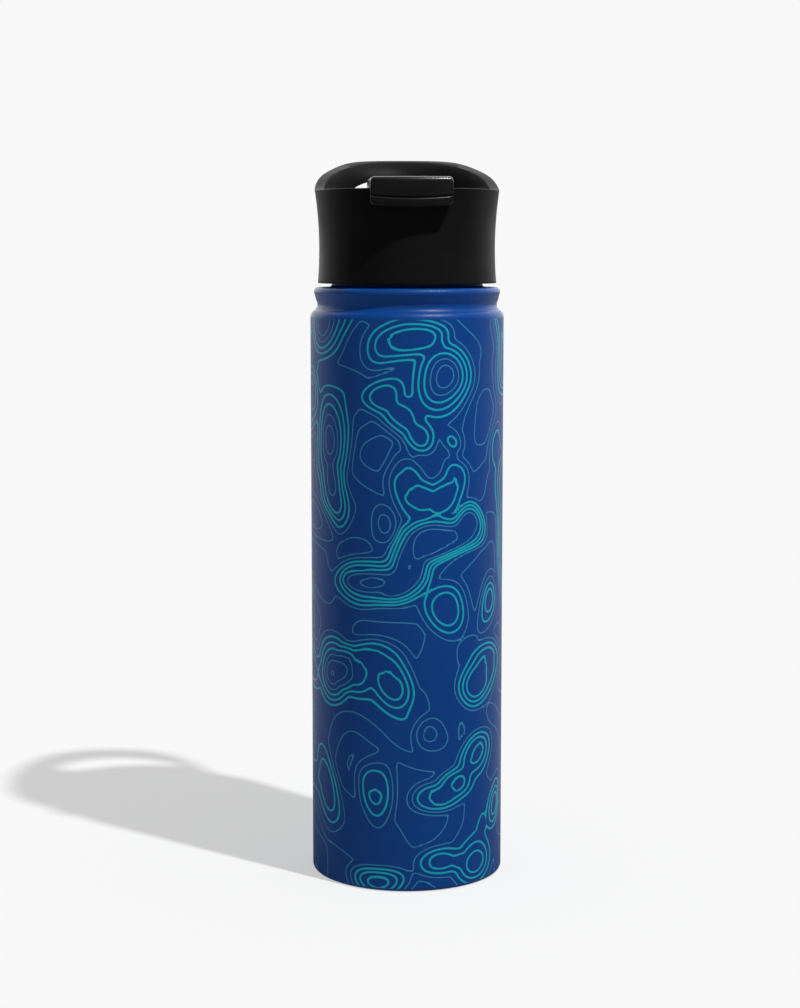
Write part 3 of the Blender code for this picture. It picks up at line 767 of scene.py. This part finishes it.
def build_liner():
    """The inner steel wall, with its top edge folded out over the neck."""
    lip = LINER_HIGH.z - STEEL
    mouth = NECK_RADIUS - STEEL - 0.3 * MM
    radius = LINER_HIGH.x
    step = radius - mouth
    shoulder = [
        (mouth + step * (1 - cos(pi * i / 16)) / 2, (221.5 - 12.0 * i / 16) * MM) for i in range(17)
    ]
    side = [(radius, (209.0 - 196.0 * i / 12) * MM) for i in range(1, 12)]
    corner = arc((radius - 6.0 * MM, 12.0 * MM), 6.0 * MM, 0, -90, 10)
    outer = [(NECK_RADIUS - 0.1 * MM, lip), (mouth + 0.3 * MM, lip)]
    outer += [(mouth, lip - 0.3 * MM)] + shoulder + side + corner + [(0.0, 6.0 * MM)]
    inner = inner_side(outer, STEEL)
    bm = lathe(outer + inner[::-1])
    finish_piece("steel_liner", bm, STEEL_FINISH, "bottle", ["inner_liner"], 50)


def build_base_cover():
    """The disc pressed in under the base."""
    points = [
        (0.0, 2.6), (28.6, 2.6, 1.2), (30.4, 1.65, 1.2), (34.9, 1.6, 0.3), (34.9, 0.95, 0.25),
        (30.6, 0.95, 0.8), (29.0, 1.9, 1.0), (0.0, 1.9),
    ]
    outline = filleted([(p[0] * MM, p[1] * MM, *(q * MM for q in p[2:])) for p in points])
    bm = lathe(outline)
    finish_piece("base_cover_disc", bm, BASE_STEEL, "bottle", ["base_cover"])


def build_gasket():
    """The silicone ring between the lid and the neck's folded lip, with a hollow round its outer side."""
    low, high = GASKET_LOW.z, GASKET_HIGH.z
    outer = GASKET_HIGH.x
    inner = 26.7 * MM
    waist = 0.35 * MM
    ease = 0.4 * MM
    middle = (low + high) / 2
    points = [
        (outer, high, ease), (outer - waist, middle, ease), (outer, low, ease),
        (inner, low, ease), (inner, high, ease),
    ]
    bm = lathe(filleted(points), closed=True)
    finish_piece("neck_gasket_ring", bm, SILICONE, "neck_seal", ["neck_gasket"])


# Lid


def lid_outer_radius(z):
    """The sleeve is waisted and flares to its rim, and at the back on into the loop."""
    if z <= RIM_Z:
        share = (z - LID_WAIST_Z) / (RIM_Z - LID_WAIST_Z)
        return LID_WAIST_RADIUS + (RIM_RADIUS - LID_WAIST_RADIUS) * share**2
    rise = (z - RIM_Z) / (LOOP_TOP - RIM_Z)
    steady = 0.8 * MM
    return RIM_RADIUS + steady * rise + (LOOP_RADIUS - RIM_RADIUS - steady) * rise**3


# The rim seen from the side: how far back, and its height, in millimetres
RIM_SIDE_VIEW = (
    (-3, 260.0), (2, 260.9), (8.5, 263.5), (15, 265.9), (21, 267.7),
    (27, 269.6), (32.5, 271.3), (37, 272.3), (41, 272.7),
)


def rim_height(y):
    """The rim seen from the side: level at the front, rising to the loop at the back."""
    points = [(a * MM, b * MM) for a, b in RIM_SIDE_VIEW]
    if y <= points[0][0]:
        return points[0][1]
    for (y0, z0), (y1, z1) in zip(points, points[1:]):
        if y <= y1:
            return z0 + (z1 - z0) * (y - y0) / (y1 - y0)
    return points[-1][1]


def smooth_rim_height(y):
    """The rim line with its corners eased."""
    reach = 4.0 * MM
    return sum(rim_height(y + reach * i / 6) for i in range(-6, 7)) / 13


def wall_radius(z, outer):
    """The outer or the inner side of the lid's wall."""
    return lid_outer_radius(z) if outer else max(CUP_RADIUS, lid_outer_radius(z) - LOOP_WALL)


def rim_at(angle, outer):
    """The rim's height where the wall stands at an angle from the back, in degrees."""
    z = RIM_Z
    for _ in range(12):
        z = smooth_rim_height(wall_radius(z, outer) * cos(radians(angle)))
    return z


WINDOW_TOP_SHARE = (WINDOW_TOP_AT_BACK - WINDOW_LOW_Z) / (LOOP_TOP - WINDOW_LOW_Z)


def bent_round_window(u, v, outer):
    """Grid lines round a square from -1 to 1 bend so that the square becomes the rounded window."""
    size = max(abs(u), abs(v))
    below = 1.7 if outer else 1.1
    limit = 1.6 + (below - 1.6) * smoothstep(0.0, -0.9, v)
    if size < 1e-6 or size >= limit:
        return u, v
    power = WINDOW_SQUARENESS
    length = (abs(u / size) ** power + abs(v / size) ** power) ** (1 / power)
    keep = smoothstep(1.0, limit, size)
    scale = keep + (1 - keep) / length
    return u * scale, v * scale


def tube_hole(bm, y, radius, z, reach):
    """Clears a tube's way through a piece of the lid."""
    outline = [(0, reach), (radius, reach), (radius, -reach), (0, -reach)]
    return combined(bm, moved(lathe(outline, steps=48), (0, y, z)), "DIFFERENCE")


def build_lid_shell():
    """The lid's outer moulding.

    A plain cup is turned first, with a wall of two cylinders. The faces in the finger window are deleted,
    the grid lines are bent round it, the wall is set to its true radii and rim, and the two sides are
    joined again round the window.
    """
    nominal_outer = 38.0 * MM
    nominal_inner = CUP_RADIUS
    top = LOOP_TOP
    shares = [i / 36 for i in range(1, 37)]
    window_share = min(shares, key=lambda s: abs(s - WINDOW_TOP_SHARE))
    heights = [WINDOW_LOW_Z + (top - WINDOW_LOW_Z) * share for share in shares]
    inside = [(nominal_inner, FLOOR_Z + 0.5 * MM), (nominal_inner, WINDOW_LOW_Z)]
    inside += [(nominal_inner, z) for z in heights]
    outside = [(nominal_outer, z) for z in heights[::-1]] + [(nominal_outer, WINDOW_LOW_Z)]
    lower = [(nominal_outer, WINDOW_LOW_Z + (LID_BOTTOM - WINDOW_LOW_Z) * i / 14) for i in range(1, 15)]
    floor = [(0.0, FLOOR_Z)] + [(nominal_inner * i / 8, FLOOR_Z) for i in range(1, 8)]
    floor += [(nominal_inner - 0.5 * MM, FLOOR_Z)]
    under = FLOOR_Z - 1.5 * MM
    below = [(SLEEVE_INNER_RADIUS, LID_BOTTOM), (SLEEVE_INNER_RADIUS, under), (0.0, under)]
    bm = lathe(floor + inside + outside + lower + below)

    def window_place(spot):
        angle = degrees(atan2(spot.x, spot.y))
        share = (spot.z - WINDOW_LOW_Z) / (top - WINDOW_LOW_Z)
        return angle / WINDOW_HALF_ANGLE, 2 * share / window_share - 1

    def on_wall(vert):
        radius = hypot(vert.co.x, vert.co.y)
        outer = abs(radius - nominal_outer) < 0.01 * MM
        inner = abs(radius - nominal_inner) < 0.01 * MM and vert.co.z > FLOOR_Z + 0.1 * MM
        return outer, inner

    walls = {vert: on_wall(vert) for vert in bm.verts}
    gone = []
    for face in bm.faces:
        if not (all(walls[v][0] for v in face.verts) or all(walls[v][1] for v in face.verts)):
            continue
        u, w = window_place(face.calc_center_median())
        if abs(u) < 1 and abs(w) < 1:
            gone.append(face)
    bmesh.ops.delete(bm, geom=gone, context="FACES")
    walls = {vert: walls[vert] for vert in bm.verts}

    rims = {}
    for vert, (outer, inner) in walls.items():
        if not (outer or inner):
            continue
        z = vert.co.z
        angle = degrees(atan2(vert.co.x, vert.co.y))
        if z >= WINDOW_LOW_Z - 1e-7:
            u, w = bent_round_window(*window_place(vert.co), outer)
            angle = u * WINDOW_HALF_ANGLE
            key = (round(abs(angle), 3), outer)
            if key not in rims:
                rims[key] = rim_at(angle, outer)
            z = WINDOW_LOW_Z + (w + 1) / 2 * window_share * (rims[key] - WINDOW_LOW_Z)
        radius = wall_radius(z, outer)
        vert.co = (radius * sin(radians(angle)), radius * cos(radians(angle)), z)

    edges = [edge for edge in bm.edges if edge.is_boundary]
    bmesh.ops.bridge_loops(bm, edges=edges)
    bm.normal_update()
    corners = sharp_edges(bm, 50)
    upper = [e for e in corners if min(v.co.z for v in e.verts) > FLOOR_Z + 0.8 * MM]
    bevel(bm, upper, 1.55 * MM, 6)
    bm.normal_update()
    foot = [e for e in sharp_edges(bm, 50) if max(v.co.z for v in e.verts) < LID_BOTTOM + 0.2 * MM]
    bevel(bm, foot, 0.35 * MM, 3)
    for y, radius in ((SPOUT_Y, SPOUT_OUTER), (VENT_Y, VENT_OUTER)):
        bm = tube_hole(bm, y, radius + TUBE_GAP, FLOOR_Z, 4 * MM)
    finish_piece("lid_sleeve_and_loop", bm, LID_PLASTIC, "lid", ["lid_shell"])


def build_thread_ring():
    """The threaded collar inside the sleeve."""
    outer = RING_HIGH.x
    inner = outer - 1.2 * MM
    low, high = RING_LOW.z, RING_HIGH.z
    points = [(outer, high), (outer, low, 0.3 * MM), (inner, low, 0.5 * MM), (inner, high)]
    outline = finer(filleted(points, 3), low, high, 0.35 * MM)
    bm = lathe(outline, closed=True)
    for vert in bm.verts:
        x, y, z = vert.co
        radius = hypot(x, y)
        if abs(radius - inner) < 0.05 * MM:
            swell = 1.15 * MM * thread_swell(x, y, z, THREAD_START_Z, 1.25, -180.0)
            vert.co.x *= 1 - swell / radius
            vert.co.y *= 1 - swell / radius
    finish_piece("threaded_collar", bm, PLUG_PLASTIC, "lid", ["thread_ring"], 50)


def build_plug():
    """The hollow plug that reaches down into the neck."""
    low, high = PLUG_LOW.z, PLUG_HIGH.z
    flange = PLUG_HIGH.x
    radius = 26.4 * MM
    wall = 1.2 * MM
    inner = radius - wall
    under_flange = high - 1.0 * MM
    dished = low + 0.5 * MM
    points = [
        (0.0, low + wall), (inner, low + wall, 0.6 * MM), (inner, high),
        (flange, high, 0.3 * MM), (flange, under_flange, 0.3 * MM), (radius, under_flange, 0.4 * MM),
        (radius, low, 1.2 * MM), (20.0 * MM, low, 0.4 * MM), (19.4 * MM, dished, 0.4 * MM), (0.0, dished),
    ]
    bm = lathe(filleted(points))
    for y, tube in ((SPOUT_Y, SPOUT_OUTER), (VENT_Y, VENT_OUTER)):
        bm = tube_hole(bm, y, tube + TUBE_GAP, low, 3 * MM)
    finish_piece("insulated_plug", bm, PLUG_PLASTIC, "lid", ["plug_cup"])


def pin_bore():
    return arc((HINGE_Y, HINGE_Z), PIN_BORE_RADIUS, 0, 352.5, 47)


def build_deck():
    """The deck block, its spout and vent tubes and its hinge lugs."""
    low = FLOOR_Z + 0.3 * MM
    turn = degrees(asin(DECK_BACK / DECK_RADIUS))
    outline = arc((0.0, 0.0), DECK_RADIUS, -180 - turn, turn, 120)
    bm = bmesh.new()
    face = bm.faces.new([bm.verts.new((x, y, low)) for x, y in outline])
    raised = bmesh.ops.extrude_face_region(bm, geom=[face], use_keep_orig=True)
    upper = [v for v in raised["geom"] if isinstance(v, bmesh.types.BMVert)]
    bmesh.ops.translate(bm, vec=(0, 0, DECK_TOP - low), verts=upper)
    bmesh.ops.recalc_face_normals(bm, faces=bm.faces)
    edges = [e for e in bm.edges if all(v.co.z > DECK_TOP - 0.01 * MM for v in e.verts)]
    bevel(bm, edges, 0.8 * MM, 4)
    through = 30 * MM
    for y, radius in ((SPOUT_Y, SPOUT_OUTER - 0.4 * MM), (VENT_Y, VENT_OUTER - 0.6 * MM)):
        hole = lathe([(0, through), (radius, through), (radius, -through), (0, -through)], steps=64)
        bm = combined(bm, moved(hole, (0, y, DECK_TOP)), "DIFFERENCE")
    finish_piece("deck_plate", bm, DECK_PLASTIC, "lid", ["lid_deck"])

    bottom = DECK_LOW.z
    sunk = DECK_TOP - 0.3 * MM
    tube = [
        (SPOUT_OUTER, SPOUT_TOP, 0.5 * MM), (SPOUT_OUTER, DECK_TOP + 0.5 * MM, 0.5 * MM),
        (SPOUT_OUTER + 1.0 * MM, sunk), (SPOUT_OUTER, sunk),
        (SPOUT_OUTER, bottom, 0.3 * MM), (SPOUT_BORE, bottom, 0.3 * MM), (SPOUT_BORE, SPOUT_TOP, 0.5 * MM),
    ]
    bm = moved(lathe(filleted(tube, 4), closed=True, steps=72), (0, SPOUT_Y, 0))
    finish_piece("spout_tube", bm, DECK_PLASTIC, "lid", ["lid_deck"])

    vent_top = DECK_TOP + 0.12 * MM
    tube = [
        (VENT_OUTER, vent_top, 0.1 * MM), (VENT_OUTER, VENT_BOTTOM, 0.2 * MM),
        (VENT_BORE, VENT_BOTTOM, 0.2 * MM), (VENT_BORE, vent_top, 0.1 * MM),
    ]
    bm = moved(lathe(filleted(tube, 3), closed=True, steps=48), (0, VENT_Y, 0))
    finish_piece("vent_tube", bm, DECK_PLASTIC, "lid", ["lid_deck"])

    rooted, clear = LUG_RADIUS + 1.2 * MM, LUG_RADIUS + 0.3 * MM
    root_low, root_high = DECK_TOP - 0.5 * MM, DECK_TOP + 0.5 * MM
    lug = [(HINGE_Y + rooted, root_low), (HINGE_Y + clear, root_high)]
    lug += arc((HINGE_Y, HINGE_Z), LUG_RADIUS, 0, 180, 16)
    lug += [(HINGE_Y - clear, root_high), (HINGE_Y - rooted, root_low)]
    inner = ARM_HIGH.x + 0.3 * MM
    outer = inner + LUG_WIDTH
    for side, low_x, high_x in (("left", -outer, -inner), ("right", inner, outer)):
        bm = prism(lug, (low_x, high_x))
        bevel(bm, sharp_edges(bm, 60), 0.35 * MM, 3)
        bore = prism(pin_bore(), (low_x - MM, high_x + MM))
        bm = combined(bm, bore, "DIFFERENCE")
        finish_piece(f"{side}_hinge_lug", bm, DECK_PLASTIC, "lid", ["lid_deck"])


def build_small_turned():
    """The vent valve, the stoppers under the arm and the hinge pin."""
    top = VALVE_HIGH.z
    seat = PLUG_LOW.z - 0.3 * MM
    low = VALVE_LOW.z
    valve = [
        (0.0, top), (0.6 * MM, top - 0.2 * MM, 0.2 * MM), (0.8 * MM, seat), (3.6 * MM, seat, 0.15 * MM),
        (3.3 * MM, low + 0.6 * MM, 0.3 * MM), (2.0 * MM, low, 0.4 * MM), (0.0, low),
    ]
    bm = moved(lathe(filleted(valve, 4), steps=64), (0, VENT_Y, 0))
    finish_piece("vent_flap", bm, SILICONE, "lid", ["vent_valve"])

    high = STOPPER_HIGH.z
    flange = STOPPER_HIGH.x
    seat = SPOUT_TOP + 0.3 * MM
    tip = STOPPER_LOW.z
    stopper = [
        (0.0, high), (flange, high, 0.3 * MM), (flange, seat, 0.4 * MM), (5.4 * MM, seat, 0.2 * MM),
        (5.25 * MM, seat - 1.2 * MM, 0.4 * MM), (4.2 * MM, tip, 0.7 * MM), (2.6 * MM, tip, 0.5 * MM),
        (2.2 * MM, tip + 0.6 * MM, 0.4 * MM), (0.0, tip + 0.6 * MM),
    ]
    bm = moved(lathe(filleted(stopper, 4), steps=96), (0, SPOUT_Y, 0))
    finish_piece("spout_plug", bm, SILICONE, "flip_arm", ["spout_stopper"])

    seat = DECK_TOP + 0.3 * MM
    tip = VENT_LOW.z
    vent = [
        (0.0, high), (2.6 * MM, high, 0.2 * MM), (2.6 * MM, seat, 0.4 * MM), (0.9 * MM, seat, 0.2 * MM),
        (0.8 * MM, tip, 0.3 * MM), (0.0, tip),
    ]
    bm = moved(lathe(filleted(vent, 4), steps=48), (0, VENT_Y, 0))
    finish_piece("vent_plug", bm, SILICONE, "flip_arm", ["vent_stopper"])

    half = PIN_HIGH.x
    radius = (PIN_HIGH.z - PIN_LOW.z) / 2
    pin = [(0.0, half), (radius, half, 0.35 * MM), (radius, -half, 0.35 * MM), (0.0, -half)]
    bm = lathe(filleted(pin, 4), steps=40)
    bmesh.ops.rotate(bm, cent=(0, 0, 0), matrix=Matrix.Rotation(pi / 2, 3, "Y"), verts=bm.verts)
    bm = moved(bm, (0, HINGE_Y, HINGE_Z))
    finish_piece("steel_hinge_pin", bm, STEEL_FINISH, "lid", ["hinge_pin"])


def build_arm():
    """The flip arm: a plate hinged at the back, and a thumb tab over the front of the rim."""
    front, bottom, top = ARM_LOW.y, ARM_LOW.z, ARM_HIGH.z
    lip_top = bottom + 3.1 * MM
    over_rim = RIM_Z + 0.4 * MM
    plate_end = HINGE_Y - 4.4 * MM
    tab = [
        (plate_end, top, 1.5 * MM),
        (front + 0.25 * MM, top, 1.5 * MM),
        (front + 0.1 * MM, lip_top + 0.75 * MM, 0.35 * MM),
        (front + 0.75 * MM, lip_top + 0.25 * MM, 0.2 * MM),
        (front, lip_top - 0.25 * MM, 0.45 * MM),
        (front + 0.15 * MM, bottom, 0.9 * MM),
        (-TAB_INNER, bottom, 0.6 * MM),
        (-TAB_INNER, over_rim, 0.4 * MM),
        (TAB_ROOT_Y - 0.3 * MM, over_rim, 0.3 * MM),
        (TAB_ROOT_Y + 0.3 * MM, ARM_UNDER, 0.4 * MM),
        (plate_end, ARM_UNDER, 1.0 * MM),
    ]
    outline = filleted(tab, 5) + arc((HINGE_Y, HINGE_Z), KNUCKLE_RADIUS, -145, 20, 12)
    half = ARM_HIGH.x
    bends = [TAB_CORNER * (1 - cos(pi / 2 * i / 6)) for i in range(6)]
    straight = half - TAB_CORNER
    places = [bend - half for bend in bends] + [straight * (i / 11 - 1) for i in range(23)]
    places += [half - bend for bend in bends[::-1]]
    bm = prism(outline[::-1], places)
    ends = [e for e in bm.edges if all(abs(abs(v.co.x) - half) < MERGE for v in e.verts)]
    bevel(bm, ends, 0.9 * MM, 4)
    middle = (bottom + top) / 2
    for vert in bm.verts:
        x, y, z = vert.co
        past = min(max(abs(x) - straight, 0.0), TAB_CORNER)
        drop = TAB_CORNER - sqrt(TAB_CORNER**2 - past**2)
        drop *= smoothstep(HINGE_Y - 4.0 * MM, HINGE_Y - 10.0 * MM, y)
        if z < middle or z > RIM_Z + MM:
            vert.co.z -= (z - middle) * drop / (middle - bottom)
        if y < TAB_ROOT_Y:
            back = smoothstep(front + 2.2 * MM, front + 3.2 * MM, y)
            front_curve = TAB_CURVE - sqrt(TAB_CURVE**2 - x * x)
            wall_curve = TAB_INNER - sqrt(TAB_INNER**2 - x * x)
            hooked = smoothstep(RIM_Z + 0.5 * MM, RIM_Z, z)
            rear = smoothstep(TAB_ROOT_Y, front + 1.5 * MM, y)
            vert.co.y += front_curve * rear * (1 - back * hooked) + wall_curve * back * hooked
            smile = 0.9 * MM * (x / half) ** 2
            vert.co.z += smile * smoothstep(lip_top + 2.5 * MM, lip_top, z) * rear
    bore = prism(pin_bore(), (-half - MM, half + MM))
    bm = combined(bm, bore, "DIFFERENCE")
    finish_piece("flip_arm_and_tab", bm, ARM_PLASTIC, "flip_arm", ["flip_arm"])


def dress_inner_nodes():
    """The sealed inner pieces keep their solids and take a finish."""
    finishes = {
        "base_plate": BASE_STEEL,
        "vacuum_seal": SEAL_GLASS,
        "getter": GETTER_METAL,
        "foam_disc": FOAM,
    }
    for name, material in finishes.items():
        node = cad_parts[name]
        if not node.material_slots:
            node.data.materials.append(material)
        for slot in node.material_slots:
            slot.material = material


# Stage

# The camera stands a little to the left of the front; its angles are in degrees
CAMERA_DISTANCE = 785.2 * MM
CAMERA_HEIGHT = 238.8 * MM
CAMERA_PITCH = 7.07
CAMERA_AZIMUTH = 2.75
CAMERA_YAW = 0.194
CAMERA_LENS = 73.95

# The lamp's place as the camera sees it, and the floor's tone in its light and in the bottle's shadow
KEY_PLACE = Vector((0.40, -0.37, 1.05))
KEY_SIZE = 0.035
KEY_POWER = 12.0
FILL = 0.35
LIT_FLOOR = 0.946
SHADED_FLOOR = 0.624


def build_floor():
    """A pale floor, even in tone out to the horizon though the lamp is near.

    Its colour makes up for the lamp's falloff, and a glow adds what the lamp no longer gives far out.
    Reflections see its front part dark, as if a dark card stood there.
    """
    bm = bmesh.new()
    bmesh.ops.create_grid(bm, x_segments=1, y_segments=1, size=60.0)
    floor = new_object("studio_floor", bm)
    material, tree, shader, place = new_material("pale_floor", specular=0.0)
    shader.inputs["Roughness"].default_value = 0.9
    ray = vectors(tree, "SUBTRACT", place, tuple(key_place()))
    away = vectors(tree, "LENGTH", ray)
    facing = vectors(tree, "DOT_PRODUCT", ray, tuple(key_aim()))
    lit = maths(tree, "DIVIDE", facing, maths(tree, "POWER", away, 4.0))
    lit = maths(tree, "MULTIPLY", lit, KEY_POWER * KEY_PLACE.z / pi**2)
    lit = maths(tree, "MAXIMUM", lit, 0.01)
    albedo = maths(tree, "DIVIDE", LIT_FLOOR - SHADED_FLOOR, lit)
    albedo = maths(tree, "MINIMUM", albedo, 0.95)
    tone = add_node(tree, "ShaderNodeCombineColor", {"Red": albedo, "Green": albedo, "Blue": albedo})
    tree.links.new(tone.outputs[0], shader.inputs["Base Color"])
    given = maths(tree, "MULTIPLY", albedo, maths(tree, "ADD", lit, FILL))
    lift = maths(tree, "MAXIMUM", maths(tree, "SUBTRACT", LIT_FLOOR, given), 0.0)
    path = tree.nodes.new("ShaderNodeLightPath")
    lift = maths(tree, "MULTIPLY", lift, ramp(tree, path.outputs["Is Camera Ray"], 0.0, 1.0, 0.4, 1.0))
    glow = add_node(tree, "ShaderNodeEmission", {"Color": (1, 1, 1, 1), "Strength": lift})
    both = add_node(tree, "ShaderNodeAddShader", {0: shader.outputs[0], 1: glow.outputs[0]})
    flag = add_node(tree, "ShaderNodeEmission", {"Color": (1, 1, 1, 1), "Strength": 0.01})
    behind = vectors(tree, "DOT_PRODUCT", place, camera_heading())
    flagged = maths(tree, "MULTIPLY", path.outputs["Is Glossy Ray"], ramp(tree, behind, 0.15, -0.12))
    shown = add_node(tree, "ShaderNodeMixShader", {0: flagged, 1: both.outputs[0], 2: flag.outputs[0]})
    tree.links.new(shown.outputs[0], tree.nodes["Material Output"].inputs["Surface"])
    floor.data.materials.append(material)


def camera_heading():
    turn = radians(CAMERA_AZIMUTH)
    return sin(turn), cos(turn), 0.0


def key_place():
    return Matrix.Rotation(radians(-CAMERA_AZIMUTH), 3, "Z") @ KEY_PLACE


def key_aim():
    return (Vector((0.0, 0.0, 0.12)) - key_place()).normalized()


def build_lights():
    """The lamp, and a white studio round it whose front is dark in reflections."""
    lamp = bpy.data.lights.new("key", "AREA")
    lamp.shape = "DISK"
    lamp.size = KEY_SIZE
    lamp.energy = KEY_POWER
    key = bpy.data.objects.new("key", lamp)
    key.location = key_place()
    key.rotation_euler = key_aim().to_track_quat("-Z", "Y").to_euler()
    bpy.context.scene.collection.objects.link(key)

    world = bpy.data.worlds.new("studio")
    bpy.context.scene.world = world
    world.use_nodes = True
    tree = world.node_tree
    background = tree.nodes["Background"]
    direction = tree.nodes.new("ShaderNodeTexCoord").outputs["Generated"]
    facing = vectors(tree, "DOT_PRODUCT", direction, camera_heading())
    path = tree.nodes.new("ShaderNodeLightPath")
    mirrored = ramp(tree, facing, -0.1, 0.8, 0.005, 2.3)
    level = maths(tree, "MULTIPLY_ADD", path.outputs["Is Camera Ray"], LIT_FLOOR - FILL, FILL)
    change = maths(tree, "SUBTRACT", mirrored, level)
    change = maths(tree, "MULTIPLY", change, path.outputs["Is Glossy Ray"])
    background.inputs["Color"].default_value = (1.0, 1.0, 1.0, 1.0)
    tree.links.new(maths(tree, "ADD", level, change), background.inputs["Strength"])


def build_camera():
    """The camera of the front view."""
    camera = bpy.data.cameras.new("camera")
    camera.lens = CAMERA_LENS
    camera.sensor_width = 36.0
    camera.clip_end = 200.0
    made = bpy.data.objects.new("camera", camera)
    turn = radians(CAMERA_AZIMUTH)
    made.location = (-CAMERA_DISTANCE * sin(turn), -CAMERA_DISTANCE * cos(turn), CAMERA_HEIGHT)
    made.rotation_euler = Euler((radians(90 - CAMERA_PITCH), 0.0, -turn + radians(CAMERA_YAW)))
    bpy.context.scene.collection.objects.link(made)
    bpy.context.scene.camera = made


build_outer_shell()
build_liner()
build_base_cover()
build_gasket()
build_lid_shell()
build_thread_ring()
build_plug()
build_deck()
build_small_turned()
build_arm()
dress_inner_nodes()
build_floor()
build_lights()
build_camera()
bpy.context.scene.view_settings.view_transform = "Standard"
